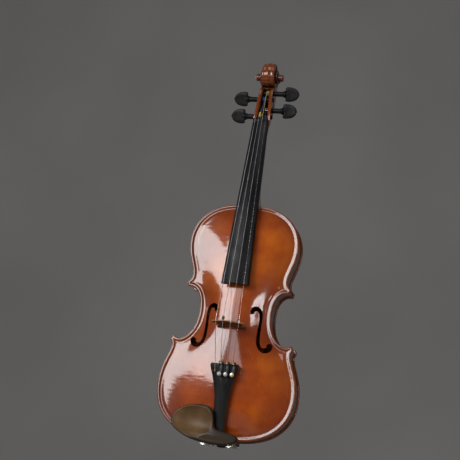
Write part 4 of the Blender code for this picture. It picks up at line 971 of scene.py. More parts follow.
def f_hole():
    """The sound hole with the two small nicks at the middle of its stem."""
    loop = spaced(sound_hole(), 0.5 * MM)
    notch = (UPPER_EYE[1] + LOWER_EYE[1]) / 2 * MM
    nicked = []
    for x, z in loop:
        depth = max(0, 1 - abs(z - notch) / (0.9 * MM)) * 1.3 * MM
        middle = 40.2 * MM
        nicked.append((x + (depth if x > middle else -depth), z))
    return nicked


def make_plates():
    outline = plate_outline()
    hole = f_hole()
    top = plate(outline, [hole, mirrored(hole)], TOP_RISE)
    put("spruce_top", top, BODY, LOOK["spruce"], "root", "top_plate")
    turn = [pi * i / 24 for i in range(24, -1, -1)]
    button = [(BUTTON_HALF * cos(a), BODY_LENGTH - 2 * MM + BUTTON_RISE * sin(a)) for a in turn]
    above = [p for p in outline if abs(p[0]) > BUTTON_HALF or p[1] < BODY_LENGTH / 2]
    first = next(i for i, p in enumerate(above) if p[0] > 0)
    back = plate(button + above[first:] + above[:first], [], BACK_RISE)
    flip = BODY @ Matrix.Translation((0, RIB_HEIGHT, 0)) @ Matrix.Rotation(pi, 4, "Z")
    put("maple_back", back, flip, LOOK["back"], "root", "back_plate")


def make_ribs():
    """Six ribs bent round the outline between the plates."""
    loop = plate_outline()
    outer, inner = (treble_half(inset(loop, depth)) for depth in (OVERHANG, OVERHANG + RIB_THICKNESS))
    lines = (outer, inner)
    upper = [nearest_station(line, UPPER_CORNER) for line in lines]
    lower = [nearest_station(line, LOWER_CORNER) for line in lines]
    heel = HEEL_HALF + GAP
    joint = 0.05 * MM
    spans = {
        "upper_rib": [(heel, s - joint) for s in upper],
        "middle_rib": [(a + joint, b - joint) for a, b in zip(upper, lower)],
        "lower_rib": [(a + joint, lengths_of(line)[-1]) for a, line in zip(lower, lines)],
    }
    for name, span in spans.items():
        outline = stretch(outer, *span[0]) + stretch(inner, *span[1])[::-1]
        for side, shape in (("treble", outline), ("bass", mirrored(outline))):
            rib = slab([shape], 0, RIB_HEIGHT)
            node = f"{name}_{side}"
            put(f"maple_{node}", rib, BODY, LOOK["ribs"], "root", node)


# ---- Neck and scroll ---------------------------------------------------------------------------

# Neck sections, up from the heel, in mm: place, half width, depth, taper, power
NECK_SECTIONS = [(-150, 16.4, 60, 0.3, 7), (-124, 16.2, 52, 0.32, 7), (-117, 16, 36, 0.3, 5),
                 (-110, 15.7, 22.5, 0.15, 3), (-101, 15.4, 16.2, 0.05, 2.2), (-90, 15.1, 14.2, 0, 2),
                 (-50, 13.9, 13.3, 0, 2), (-22, 12.8, 12.8, 0, 2), (-10, 12.9, 16.2, 0, 2.2),
                 (-1, 13.1, 19.2, 0, 2.6),
                 (6, 13.2, 20, 0, 3)]
# Side views of the pegbox and of its hollow in mm, (back, up from the nut)
PEGBOX_SIDE = [(0, 1), (-0.6, 30), (0.2, 50), (2, 58), (7, 65), (13, 71), (18, 92), (35, 84), (32.5, 68),
               (28.6, 48), (24, 25), (20.4, 3)]
HOLLOW_SIDE = [(-12, 6.5), (-12, 63), (5, 63), (14, 62.5), (20, 54), (18.4, 30), (15.8, 9.5)]


def pegbox_half(z):
    return PEGBOX_HALF - PEGBOX_NARROWING * z / PEGBOX_LENGTH


def neck_section(z, half, depth, taper, power, count=14):
    right = []
    for i in range(count + 1):
        t = sin(pi / 2 * i / count)
        right.append((half * (1 - taper * t) * max(1 - t ** power, 0) ** 0.5, depth * t, z))
    return [(x, y, z) for x, y, z in right] + [(-x, y, z) for x, y, z in reversed(right[:-1])]


def turn_radius(quarters):
    return SCROLL_RADIUS * SCROLL_SHRINK ** max(quarters - 1, 0)


def turn_half(quarters):
    """Half the scroll's width: it widens from the pegbox's back all the way to the eyes."""
    return MM * float(np.interp(quarters, range(len(TURN_HALVES)), TURN_HALVES))


SCROLL_QUARTERS = 9.4
TURN_HALVES = (7.2, 8.4, 10.4, 11.4, 12, 12.8, 13.6, 14.8, 16.8, 20.2,
               22)  # half widths in mm after each quarter turn
EYE_RADIUS = 5 * MM
SHOULDER = 1.7 * MM  # how much lower the ribbon's rims are than its middle


def volute():
    """The scroll's turns: a fluted ribbon outside, and hollowed side faces that step out to the eyes."""
    steps = 14
    count = int(SCROLL_QUARTERS * steps)
    chamfer = 0.8 * MM
    ribbon, right = [], []
    for i in range(count + 1):
        q = i / steps
        angle = q * pi / 2
        direction = (cos(angle), sin(angle))

        def at(x, radius):
            return (x, SCROLL_CENTRE[0] + radius * direction[0], SCROLL_CENTRE[1] + radius * direction[1])

        radius, half = turn_radius(q), turn_half(q)
        inner = max(turn_radius(q + 4), EYE_RADIUS)
        if q <= 4:
            row = []
            for k in range(-12, 13):
                u = k / 12
                flute = 0.95 * MM * sin(pi * min(abs(u) * 1.1, 1)) ** 2 * min(1, q + 0.25)
                row.append(at(u * (half - chamfer), radius - flute - SHOULDER * abs(u) ** 3.5))
            ribbon.append(row)
        if radius > EYE_RADIUS:
            rim = radius - SHOULDER * min(1, max(0, 5 - q))
            side = [at(half - chamfer, rim), at(half - 0.15 * MM, rim - 0.3 * MM), at(half, rim - chamfer)]
            width = rim - chamfer - inner
            side += [at(half - 0.16 * width * sin(pi * t) - 0.1 * width * t, rim - chamfer - width * t)
                     for t in (k / 8 for k in range(1, 9))]
            top = turn_half(q + 4) - chamfer if q + 4 <= SCROLL_QUARTERS else EYE_REACH - 1.2 * MM
            side.append(at(max(top, half - 0.1 * width), inner))
            right.append(side)
    left = [[(-x, y, z) for x, y, z in row] for row in right]
    eyes = []
    for sign in (-1, 1):
        profile = [(EYE_RADIUS, 0), (EYE_RADIUS, EYE_REACH - 1.2 * MM),
                   (EYE_RADIUS - 0.4 * MM, EYE_REACH - 0.4 * MM),
                   (EYE_RADIUS - 1.2 * MM, EYE_REACH), (0, EYE_REACH + 0.2 * MM)]
        turn = Matrix.Translation((0, *SCROLL_CENTRE)) @ Matrix.Rotation(sign * pi / 2, 4, "Y")
        eyes.append(moved(lathe(profile, 28), turn))
    return joined(surface(ribbon), surface(right), surface(left), *eyes)


def make_neck():
    """Heel, shaft, pegbox and scroll, carved in one."""
    shaft_table = np.array(NECK_SECTIONS, float)
    places = np.unique(np.concatenate([np.arange(-150, -88, 1.0), np.arange(-88, -12, 6.0),
                                       np.arange(-12, 6.5, 0.75)]))
    columns = [smooth_values(places, shaft_table[:, 0], shaft_table[:, k]) for k in range(1, 5)]
    rows = [neck_section(z * MM, half * MM, depth * MM, taper, power)
            for z, half, depth, taper, power in zip(places, *columns)]
    shaft = surface(rows, close_rows=True, cap=True)
    low = HEEL_HALF * 2
    shaft.transform(NECK)
    to_world = BODY
    shaft = cut(shaft, moved(block((-low, -0.08, 0.2), (low, 0.12, BODY_LENGTH - MORTISE)), to_world))
    shaft = cut(shaft, moved(block((-low, RIB_HEIGHT - GAP, 0.3), (low, 0.12, BODY_LENGTH + 30 * MM)),
                             to_world))
    shaft.transform(NECK.inverted())

    side = smooth(PEGBOX_SIDE, 6)
    box = slab([side], -1, 1, plane="side")
    for vert in box.vertices:
        vert.co.x *= pegbox_half(vert.co.z)
    box = bevelled(cut(box, chin_trim()), 0.7 * MM, angle=45)
    hollow = slab([[(y * MM, z * MM) for y, z in HOLLOW_SIDE]], -1, 1, plane="side")
    for vert in hollow.vertices:
        vert.co.x *= pegbox_half(vert.co.z) - CHEEK
    box = cut(box, hollow)
    for _, _, height in PEGS:
        bore = lathe([(0, -30 * MM), (PEG_RADIUS[0] + 0.1 * MM, -30 * MM),
                      (PEG_RADIUS[0] + 0.1 * MM, 30 * MM), (0, 30 * MM)])
        turn = Matrix.Translation((0, PEG_DEPTH, height)) @ Matrix.Rotation(pi / 2, 4, "Y")
        box = cut(box, moved(bore, turn))
    neck = joined(shaft, box, volute())
    # How enclosed each spot is, which the neck's material paints as shade in the scroll's turns, the pegbox
    # and its throat.
    mark_crevices(neck, 13 * MM)
    put("maple_neck", neck, NECK, LOOK["neck"], "root", "neck_and_scroll")


def chin_trim():
    """What is carved off the pegbox's lower end, where it grows square out of the round neck."""
    rows = []
    for z, power in ((-4, 2.4), (0, 2.6), (3, 3), (7, 3.8), (11, 5), (15, 7), (19, 11), (23, 18), (27, 34),
                     (31, 60)):
        depth = 20.4 + 3.7 * (z - 3) / 22 + 1.1
        rows.append(neck_section(z * MM, pegbox_half(z * MM) + 0.05 * MM, depth * MM, 0, power, count=20))
    kept = moved(surface(rows, close_rows=True, cap=True), Matrix.Translation((0, -1 * MM, 0)))
    return cut(block((-0.02, -0.008, -3 * MM), (0.02, 0.04, 30 * MM)), kept)


def smooth_values(places, knots, values):
    """Smooth interpolation without overshoot, by easing a fine linear one."""
    fine = np.linspace(knots[0], knots[-1], 1200)
    line = np.interp(fine, knots, values)
    width = 25
    padded = np.pad(line, width, mode="edge")
    kernel = np.hanning(2 * width + 1)
    soft = np.convolve(padded, kernel / kernel.sum(), mode="valid")
    return np.interp(places, fine, soft)


def make_fingerboard():
    sections = []
    for z, half in ((-FINGERBOARD_LENGTH, FINGERBOARD_HALF[1]), (-GAP, FINGERBOARD_HALF[0])):
        section = [(half - 0.4 * MM, -GAP, z), (-half + 0.4 * MM, -GAP, z), (-half, -GAP - 0.4 * MM, z)]
        steps = 30
        ease = 0.5 * MM
        for i in range(steps + 1):
            x = half * (2 * i / steps - 1)
            crown = sqrt(FINGERBOARD_RADIUS ** 2 - x * x) - sqrt(FINGERBOARD_RADIUS ** 2 - half * half)
            edge = ease * max(0, 1 - (half - abs(x)) / (0.9 * MM)) ** 2
            section.append((x, -FINGERBOARD_EDGE - crown + edge, z))
        section.append((half, -GAP - 0.4 * MM, z))
        sections.append(section)
    board = surface(sections, close_rows=True, cap=True)
    scoop = lathe(mm([(0, -150), (14, -150), (14, 0), (9, 8), (0, 12)]), 48)
    scoop.transform(Matrix.Diagonal((1, 0.36, 1, 1)))
    scoop.transform(Matrix.Translation((0, 1 * MM, -FINGERBOARD_LENGTH + 118 * MM)))
    board = bevelled(cut(board, scoop), 0.3 * MM, angle=50)
    # Marks the fingerboard's worn end edge, which the ebony material paints with a light grey highlight.
    mark_faces(board, "worn_edge_highlight", lambda f: f.center.z < 0.35 * MM - FINGERBOARD_LENGTH
               and f.normal.z > -0.97)
    put("ebony_fingerboard", board, NECK, LOOK["fingerboard"], "root", "fingerboard")

    half = FINGERBOARD_HALF[0]
    profile = [(-half, GAP), (half, GAP)]
    steps = 96
    for i in range(steps + 1):
        x = half * (1 - 2 * i / steps)
        groove = max((max(0, (radius + 0.2 * MM) ** 2 - (x - nut_x) ** 2) ** 0.5 for _, nut_x, _, _, radius,
                      _ in STRINGS))
        profile.append((x, nut_top(x) - groove * 0.8))
    nut = bevelled(slab([profile], 0, NUT_LENGTH, plane="end"), 0.5 * MM, angle=60)
    put("ebony_nut", nut, NECK, LOOK["ebony"], "root", "nut")


def nut_top(x):
    return FINGERBOARD_EDGE + 2.5 * MM - (FINGERBOARD_RADIUS - sqrt(FINGERBOARD_RADIUS ** 2 - x * x))


PEG_SPIN = {"g": 68, "d": 65, "a": -66, "e": -70}  # how each head happens to be turned, degrees


def peg_head():
    """A heart-shaped thumb piece about +Z with hollowed faces; the small pip at its tip is turned separately
    in make_pegs.
    """
    start, end = PEG_COLLAR + 5 * MM, PEG_END - 0.7 * MM
    rows = []
    steps = 30
    widest = 0.2
    for i in range(steps + 1):
        t = (1 - cos(pi * i / steps)) / 2
        if t > widest:
            wide = PEG_HEAD[1] * max(1 - ((t - widest) / (1 - widest)) ** 2.2, 0.0004) ** 0.5
        else:
            wide = PEG_HEAD[1] * (1 - 0.16 * ((widest - t) / widest) ** 2)
        ends = min(1, 8 * t + 0.25, 6 * (1 - t) + 0.2)
        thick = PEG_HEAD[0] * (0.8 - 0.2 * sin(pi * t)) * ends ** 0.5
        if i == 0:
            wide -= 1.2 * MM
        row = []
        for k in range(32):
            a = 2 * pi * k / 32
            c, s = cos(a), sin(a)
            across = wide * abs(c) ** 0.75 * (1 if c > 0 else -1)
            through = thick * abs(s) ** 0.75 * (1 if s > 0 else -1) * (0.7 + 0.3 * abs(c) ** 1.5)
            lobe = 2.2 * MM * (abs(across) / PEG_HEAD[1]) ** 1.6 * (1 - t) ** 2
            row.append((through, across, start + (end - start) * t - lobe))
        rows.append(row)
    return surface(rows, close_rows=True, cap=True)


def make_pegs():
    for name, side, height in PEGS:
        far = -pegbox_half(height) - 0.8 * MM
        near = pegbox_half(height)
        wide, thin = PEG_RADIUS
        turned = [(0, PEG_COLLAR + 9 * MM), (2.6 * MM, PEG_COLLAR + 8.4 * MM),
                  (2.9 * MM, PEG_COLLAR + 6 * MM),
                  (3.3 * MM, PEG_COLLAR + 4.6 * MM), (4.6 * MM, PEG_COLLAR + 4.1 * MM),
                  (5.7 * MM, PEG_COLLAR + 3.3 * MM),
                  (5.8 * MM, PEG_COLLAR + 2.6 * MM), (5.4 * MM, PEG_COLLAR + 1.9 * MM),
                  (4.4 * MM, PEG_COLLAR + 1.4 * MM),
                  (4.3 * MM, PEG_COLLAR + 0.9 * MM), (4.7 * MM, PEG_COLLAR + 0.5 * MM),
                  (4.7 * MM, PEG_COLLAR - 0.2 * MM),
                  (wide, PEG_COLLAR - 0.8 * MM), (wide, near), (thin, far),
                  (thin - 0.5 * MM, far - 0.45 * MM), (0, far - 0.5 * MM)]
        pip = [(0, PEG_END), (0.9 * MM, PEG_END - 0.2 * MM), (1.3 * MM, PEG_END - 0.9 * MM),
               (1.1 * MM, PEG_END - 1.8 * MM),
               (0.5 * MM, PEG_END - 2.4 * MM), (0, PEG_END - 2.6 * MM)]
        peg = joined(lathe(turned, 32), peg_head(), lathe(pip, 20))
        peg.transform(Matrix.Rotation(radians(PEG_SPIN[name]), 4, "Z"))
        turn = Matrix.Translation((0, PEG_DEPTH, height)) @ Matrix.Rotation(side * pi / 2, 4, "Y")
        put(f"ebony_{name}_peg", peg, NECK @ turn, LOOK["pegs"], f"{name}_peg", f"{name}_peg")


# ---- Bridge, tailpiece and strings -------------------------------------------------------------

BRIDGE_BASE = 15 * MM
BRIDGE_SHOULDER = [(24.1, 38.6), (21.4, 37), (18.8, 35.4), (18, 33.4), (19.4, 31.4), (19.4, 29.6),
                   (16.4, 28), (15, 26), (16.6, 23.4), (20, 21), (21.2, 18.6), (21.3, 16.4)]
BRIDGE_ARCH = [(10, 16.6), (11.4, 18.4), (9.5, 21.4), (5, 23.6), (0, 24.4)]
BRIDGE_HEART = [(0, 29), (3, 32), (3.6, 34.6), (2, 36), (0, 34.6), (-2, 36), (-3.6, 34.6), (-3, 32)]
BRIDGE_KIDNEY = [(9.5, 33.5), (12.5, 32.2), (13.6, 34.5), (12, 37), (9, 36.4)]


def bridge_top(x):
    return BRIDGE_TOP - BRIDGE_LEAN * x - (BRIDGE_CURVE - sqrt(BRIDGE_CURVE ** 2 - x * x))


def make_bridge():
    crown = [(x * MM, bridge_top(x * MM)) for x in np.linspace(-24, 24, 49)]
    right = smooth(BRIDGE_SHOULDER, 5)[:-1]
    foot_height = BRIDGE_HEIGHT - BRIDGE_TILT * (BRIDGE_TOP - BRIDGE_BASE)
    for x in np.linspace(21.2, 9.8, 9):
        right.append((x * MM, float(rim_height(9) + arch(x * MM, foot_height, TOP_RISE)) + 0.1 * MM))
    right += smooth(BRIDGE_ARCH, 5)
    left = [(-x, h) for x, h in reversed(right[:-1])]
    kidney = smooth_loop(BRIDGE_KIDNEY, 6)
    outline = [(float(x), float(h)) for x, h in right + left + crown]
    mesh = slab([outline, smooth_loop(BRIDGE_HEART, 5), kidney, mirrored(kidney)], -0.5, 0.5, plane="end")
    foot, top = BRIDGE_THICKNESS
    for vert in mesh.vertices:
        rise = min(max((-vert.co.y - BRIDGE_BASE) / (BRIDGE_TOP - BRIDGE_BASE), 0), 1)
        thickness = foot + (top - foot) * rise ** 0.8
        tilt = BRIDGE_TILT * (BRIDGE_TOP + vert.co.y)
        vert.co.z = BRIDGE_HEIGHT - foot / 2 - tilt + (thickness if vert.co.z > 0 else 0)
    mesh = bevelled(mesh, 0.25 * MM, angle=60)
    # Marks the crown's upper edge, which the material paints in the tan of lit maple.
    mark_faces(mesh, "lit_top_edge", lambda f: f.normal.y < -0.5
               and -f.center.y > bridge_top(f.center.x) - 0.3 * MM)
    put("carved_bridge", mesh, BODY, LOOK["bridge"], "root", "bridge")


TAIL_KNOTS = np.array(TAIL_HALF)


def tail_half(back):
    return float(np.interp(back, TAIL_KNOTS[:, 0], TAIL_KNOTS[:, 1]))


def soft_tail_half(back):
    """Half the tailpiece's width with its waist rounded."""
    spread = [tail_half(min(max(back + step * MM, 0), TAIL_LENGTH)) for step in (-3, -1.5, 0, 1.5, 3)]
    return tail_half(back) if back < 5 * MM else sum(spread) / len(spread)


def tail_surface(x, back):
    half = soft_tail_half(back)
    return TAIL_CROWN * (half / TAIL_HALF[1][1]) * (1 - min(abs(x) / half, 1) ** 2)


def make_tailpiece():
    sections = []
    backs = [0, 0.3, 0.9, 2, 3, 4.5, 6, 8, 10, 13, 16, 20, 25, 30, 36, 42, 48, 56, 64, 72, 80, 88, 96, 102,
             105, 106.4, 107]
    for back in (b * MM for b in backs):
        ends = min(back, TAIL_LENGTH - back)
        ease = rounded_in(np.array(ends), 0.9 * MM)
        half = soft_tail_half(back) - float(ease) * 0.6
        front = [(x, -tail_surface(x, back) + float(ease), -back)
                 for x in (half * (i / 12 - 1) for i in range(25))]
        depth = TAIL_THICKNESS - float(ease)
        hollow = 2.2 * MM * min(1, ends / (6 * MM))
        rear = [(x * 0.96, depth - tail_surface(x, back) - hollow * (1 - (x / half) ** 2) ** 1.2, -back)
                for x in (half * (1 - i / 8) for i in range(1, 16))]
        sections.append(front + rear)
    mesh = surface(sections, close_rows=True, cap=True)
    for name, _, _, x, _, _ in STRINGS:
        round_place = -10 * MM if name == "g" else -SCREW_BACK
        bore = lathe(mm([(0, -20), (1.9, -20), (1.9, 20), (0, 20)]), 24)
        mesh = cut(mesh, moved(bore, Matrix.Translation((x, 0, round_place)) @ LAID_DOWN))
    slot_x = STRINGS[0][3]
    mesh = cut(mesh, block((slot_x - 0.55 * MM, -20 * MM, -10 * MM), (slot_x + 0.55 * MM, 20 * MM, 2 * MM)))
    mesh = bevelled(mesh, 0.25 * MM, angle=55)
    ridge = []
    for i in range(41):
        x = 19.6 * MM * (i / 20 - 1)
        if min(abs(x - slot_x), *(abs(x - s[3]) for s in STRINGS[1:])) < 1.2 * MM:
            lift = -0.2 * MM
        else:
            lift = 0.75 * MM
        ridge.append((x, lift))
    rows = []
    for x, lift in ridge:
        top = -tail_surface(x, 5.5 * MM) - lift
        rows.append([(x, top + 1.6 * MM, -4.4 * MM), (x, top + 0.3 * MM, -4.5 * MM), (x, top, -5.1 * MM),
                     (x, top, -5.9 * MM), (x, top + 0.3 * MM, -6.5 * MM), (x, top + 1.6 * MM, -6.6 * MM)])
    fret = surface(rows, close_rows=True, cap=True)
    put("ebony_tailpiece", joined(mesh, fret), TAIL, LOOK["tailpiece"], "root", "tailpiece")


def knurled(radius, low, high, ridges=26):
    """A round head with a knurled rim, about Z."""
    outline = []
    for i in range(ridges * 2):
        a = pi * i / ridges
        r = radius - (0.22 * MM if i % 2 else 0)
        outline.append((r * cos(a), r * sin(a)))
    return bevelled(slab([outline], low, high, plane="flat"), 0.18 * MM, angle=60)


def make_tuners():
    """Each tuner's frame with its threaded collar, the screw with its knurled head, and the hooked lever."""
    for name, _, _, x, _, _ in STRINGS[1:]:
        inner = abs(x) - 3 * MM
        seat = min(-tail_surface(inner, SCREW_BACK), -tail_surface(inner, 3 * MM)) - GAP
        top = seat - 3.4 * MM
        pivot_y = (seat + top) / 2
        look = LOOK["brass"] if name == "e" else LOOK["screw"]

        def side_wall(offset):
            outline = [(seat, -SCREW_BACK + 5.2 * MM), (seat, -0.2 * MM), (seat - 0.4 * MM, 2.6 * MM),
                       (pivot_y + 0.6 * MM, 3.3 * MM),
                       (pivot_y - 1.2 * MM, 3.2 * MM), (top, 1.6 * MM), (top, -1.4 * MM),
                       (top + 1.2 * MM, -3.4 * MM), (top + 2.2 * MM, -SCREW_BACK + 5.2 * MM)]
            return bevelled(slab([smooth_loop([(a / MM, b / MM) for a, b in outline], 3)],
                                 x + offset - 0.55 * MM, x + offset + 0.55 * MM, plane="side"),
                            0.2 * MM, angle=60)

        base = bevelled(block((x - 2.9 * MM, seat - 1 * MM, -SCREW_BACK + 4 * MM),
                              (x + 2.9 * MM, seat, -2.6 * MM)), 0.3 * MM)
        collar = lathe(mm([(1.5, 0), (2.9, 0), (3, 0.3), (2.9, 2.6), (2.3, 3.2), (1.5, 3.3), (1.5, 0)]), 32)
        collar.transform(Matrix.Translation((x, seat, -SCREW_BACK)) @ LAID_DOWN)
        arm = bevelled(block((x - 1.6 * MM, seat - 1.1 * MM, -SCREW_BACK + 1.5 * MM),
                             (x + 1.6 * MM, seat, -SCREW_BACK + 5 * MM)), 0.3 * MM)
        pin = lathe(mm([(0, -3.3), (0.7, -3.2), (0.85, -2.9), (0.85, 2.9), (0.7, 3.2), (0, 3.3)]), 20)
        pin.transform(Matrix.Translation((x, pivot_y, LEVER_PIVOT_UP)) @ Matrix.Rotation(pi / 2, 4, "Y"))
        frame_mesh = joined(side_wall(-2.35 * MM), side_wall(2.35 * MM), base, collar, arm, pin)
        put(f"{name}_tuner_body", frame_mesh, TAIL, LOOK["tuners"], "root", f"{name}_tuner_frame")

        arm_y = LEVER_ARM - pivot_y
        end = -SCREW_BACK - 1.5 * MM - LEVER_PIVOT_UP
        rise = HOOK_RISE
        side = [(-rise + 0.3 * MM, 0.7 * MM), (-rise, 0.2 * MM), (-rise, -2.2 * MM),
                (-rise + 0.5 * MM, -2.6 * MM),
                (-rise + 1.2 * MM, -2.3 * MM), (-rise + 1.3 * MM, -1.2 * MM), (-rise + 1.9 * MM, -0.9 * MM),
                (1 * MM, -0.9 * MM),
                (arm_y - 0.2 * MM, 0.1 * MM), (arm_y + 0.4 * MM, -0.5 * MM), (arm_y + 0.5 * MM, end),
                (arm_y + 1.4 * MM, end), (arm_y + 1.4 * MM, -0.2 * MM), (arm_y + 0.4 * MM, 0.9 * MM)]
        lever = bevelled(slab([side], -LEVER_HALF, LEVER_HALF, plane="side"), 0.25 * MM, angle=50)
        place = Matrix.Translation((x, pivot_y, LEVER_PIVOT_UP))
        put(f"{name}_tuner_hook", lever, TAIL @ place, look, f"{name}_tuner_lever",
            f"{name}_tuner_lever")

        head_top = top - 5 * MM
        stem = lathe([(0, -1 * MM), (2.2 * MM, -1.2 * MM), (2.2 * MM, -3.2 * MM), (1.35 * MM, -3.4 * MM),
                      *[(1.35 * MM - (0.14 * MM if k % 2 else 0), -3.6 * MM - k * 0.25 * MM)
                        for k in range(20)],
                      (1.2 * MM, head_top - LEVER_ARM + 0.6 * MM), (0.6 * MM, head_top - LEVER_ARM + GAP),
                      (0, head_top - LEVER_ARM + GAP)], 24)
        crown = lathe(mm([(0, 0), (1.6, -0.02), (2.5, -0.25), (2.7, -0.7), (0, -0.8)]), 32)
        screw = joined(stem, crown, knurled(3.2 * MM, -2.9 * MM, -0.45 * MM))
        turn = Matrix.Translation((x, head_top, -SCREW_BACK)) @ LAID_DOWN
        put(f"{name}_tuner_knob", screw, TAIL @ turn, look, f"{name}_tuner_screw",
            f"{name}_tuner_screw")


def string_path(name, nut_x, bridge_x, tail_x, radius, start_x):
    """The string's path in the body's frame: lower end, bridge, nut, then its turns on the peg."""
    from_neck = BODY.inverted() @ NECK
    from_tail = BODY.inverted() @ TAIL
    if name == "g":
        before = [Vector((tail_x, -tail_surface(tail_x, 9 * MM) + 0.4 * MM, -10 * MM)),
                  Vector((tail_x, -tail_surface(tail_x, 6 * MM) - 0.3 * MM, -6 * MM)),
                  Vector((tail_x, -tail_surface(tail_x, 3 * MM) - 2 * radius - GAP, -1 * MM))]
        before = [from_tail @ p for p in before]
    else:
        before = [from_tail @ Vector((tail_x, -9.6 * MM, 3.4 * MM))]
    bridge_z = BRIDGE_HEIGHT - BRIDGE_THICKNESS[0] / 2 + BRIDGE_THICKNESS[1] / 2
    bridge = Vector((bridge_x, -bridge_top(bridge_x) - radius + 0.1 * MM, bridge_z))
    over = -nut_top(nut_x) - radius * 0.5
    nut = [from_neck @ Vector((nut_x, over, z)) for z in (0, NUT_LENGTH / 2, NUT_LENGTH + 0.1 * MM)]
    side = -1 if nut_x < 0 else 1
    height = next(h for n, _, h in PEGS if n == name)
    ring = PEG_RADIUS[0] + radius + 0.05 * MM
    steps = 24
    wound = []
    for i in range(int(STRING_TURNS * steps) + 1):
        turn = 2 * pi * i / steps
        x = side * (start_x + STRING_PITCH * i / steps)
        wound.append(from_neck @ Vector((x, PEG_DEPTH - ring * cos(turn), height + ring * sin(turn))))
    return before, bridge, nut, wound


def between(a, b, count):
    return [a.lerp(b, i / count) for i in range(count)]


def make_strings():
    """Each string is bare or wound metal; the G, D and A have silk at their lower ends, the D and A also on
    their turns at the peg; one lies in a soft sleeve at the bridge.
    """
    silks = {"g": ("silk_green", None), "d": ("silk_yellow", "silk_blue"), "a": ("silk_yellow", "silk_olive"),
             "e": ("silk_red", None)}
    for name, nut_x, bridge_x, tail_x, radius, start_x in STRINGS:
        before, bridge, nut, wound = string_path(name, nut_x, bridge_x, tail_x, radius, start_x)
        playing = between(before[-1], bridge, 12) + between(bridge, nut[0], 30) + nut
        metal = LOOK["steel"] if name == "e" else LOOK["winding"]
        put(f"{name}_string_metal", tube(before[:-1] + playing, radius, 12), BODY, metal, "root",
            f"{name}_string")
        upper = [nut[-1]] + between(nut[-1], wound[0], 8)[1:] + wound
        wrap = silks[name][1]
        thick = radius * (1.12 if wrap else 1)
        put(f"{name}_string_turns", tube(upper, thick, 10), BODY, LOOK[wrap] if wrap else metal, "root")
        if name != "e":
            put(f"{name}_string_silk", tube(between(before[0], bridge, 24)[:5] if name != "g" else before,
                                            radius * 1.25, 10),
                BODY, LOOK[silks[name][0]], "root")
        if name != "g":
            ball = lathe(mm([(0.55, -0.9), (1.25, -0.9), (1.35, -0.5), (1.0, 0), (1.35, 0.5), (1.25, 0.9),
                             (0.55, 0.9), (0.55, -0.9)]), 24)
            turn = Matrix.Translation((tail_x, -9.4 * MM, 2.6 * MM)) @ Matrix.Rotation(pi / 2, 4, "Y")
            put(f"{name}_string_ball", ball, TAIL @ turn, LOOK["brass"], "root")
        if name == "d":
            wrap_path = between(nut[-1], wound[0], 24)[1:8]
            put("d_string_wrap", tube(wrap_path, [0.8 * MM, *[1.35 * MM] * 5, 0.8 * MM], 16), BODY,
                LOOK["silk_yellow"],
                "root")
            along = (nut[0] - bridge).normalized()
            r = SLEEVE_RADIUS
            profile = [(radius, 2.5 * MM), (r - 0.4 * MM, 2.5 * MM), (r, 2.1 * MM), (r, -2.1 * MM),
                       (r - 0.4 * MM, -2.5 * MM),
                       (radius, -2.5 * MM), (radius, 2.5 * MM)]
            spin = along.to_track_quat("Z", "Y").to_matrix().to_4x4()
            turn = Matrix.Translation(bridge + along * SLEEVE_UP) @ spin
            put("soft_sleeve", lathe(profile, 24), BODY @ turn, LOOK["sleeve"], "root",
                "string_sleeve")


# ---- Lower end and chin rest -------------------------------------------------------------------

def make_lower_end():
    shape = [(y * MM, z * MM) for y, z in [(-9, 1.2), (-9, 3), (-5.5, 6.5), (-0.2, 6.5), (-0.2, 0), (-6, 0)]]
    saddle = bevelled(slab([shape], -SADDLE_HALF, SADDLE_HALF, plane="side"), 0.7 * MM, angle=20, segments=3)
    put("ebony_saddle", saddle, BODY, LOOK["ebony"], "root", "saddle")
    head = BUTTON_HEAD
    profile = [(0, 12 * MM), (3 * MM, 12 * MM), (3.6 * MM, OVERHANG), (BUTTON_GROOVE, OVERHANG - 0.6 * MM),
               (BUTTON_GROOVE, -0.9 * MM), (4.8 * MM, -1.4 * MM), (6.1 * MM, -1.9 * MM), (head, -2.6 * MM),
               (head, -3.4 * MM),
               (6.3 * MM, -3.8 * MM), (6.3 * MM, -4.2 * MM), (head, -4.6 * MM), (head, -6.8 * MM),
               (6.2 * MM, -8 * MM),
               (5 * MM, -8.7 * MM), (2.2 * MM, -9 * MM), (1.2 * MM, -8.6 * MM), (0, -8.5 * MM)]
    button = lathe(profile, 48)
    put("ebony_button", button, BODY @ Matrix.Translation((0, RIB_HEIGHT / 2, 0)), LOOK["ebony"], "root",
        "end_button")

    half, radius, middle = 4.6 * MM, TAILGUT_RADIUS, RIB_HEIGHT / 2
    ring = BUTTON_GROOVE + radius + 0.1 * MM
    drop = OVERHANG - 2 * MM
    up = [(half, -13.5, 0.4), (half, -11.4, 1.2), (half, -9.9, 1.0), (half, -8.6, -0.4), (half, -6.5, -1.15),
          (4.7 * MM, -2, -1.2), (5 * MM, 4, -1.0), (ring, 10, -0.2)]
    up = [(x, y * MM, z * MM) for x, y, z in up]
    around = [(ring * cos(a), middle + ring * sin(a), drop) for a in (pi * i / 16 for i in range(0, 17))]
    path = up + around + [(-x, y, z) for x, y, z in reversed(up)]
    put("tailgut_cord", tube(smooth_path(path, 4), radius, 14), BODY, LOOK["cord"], "root",
        "tailgut")


def smooth_path(points, per_span):
    """A smooth line in space through points."""
    path = [Vector(p) for p in points]
    path = [2 * path[0] - path[1], *path, 2 * path[-1] - path[-2]]
    line = []
    for a, b, c, d in zip(path, path[1:], path[2:], path[3:]):
        for step in range(per_span):
            t = step / per_span
            line.append(0.5 * (2 * b + (c - a) * t + (2 * a - 5 * b + 4 * c - d) * t * t
                               + (3 * b - a - 3 * c + d) * t ** 3))
    line.append(path[-2])
    return line


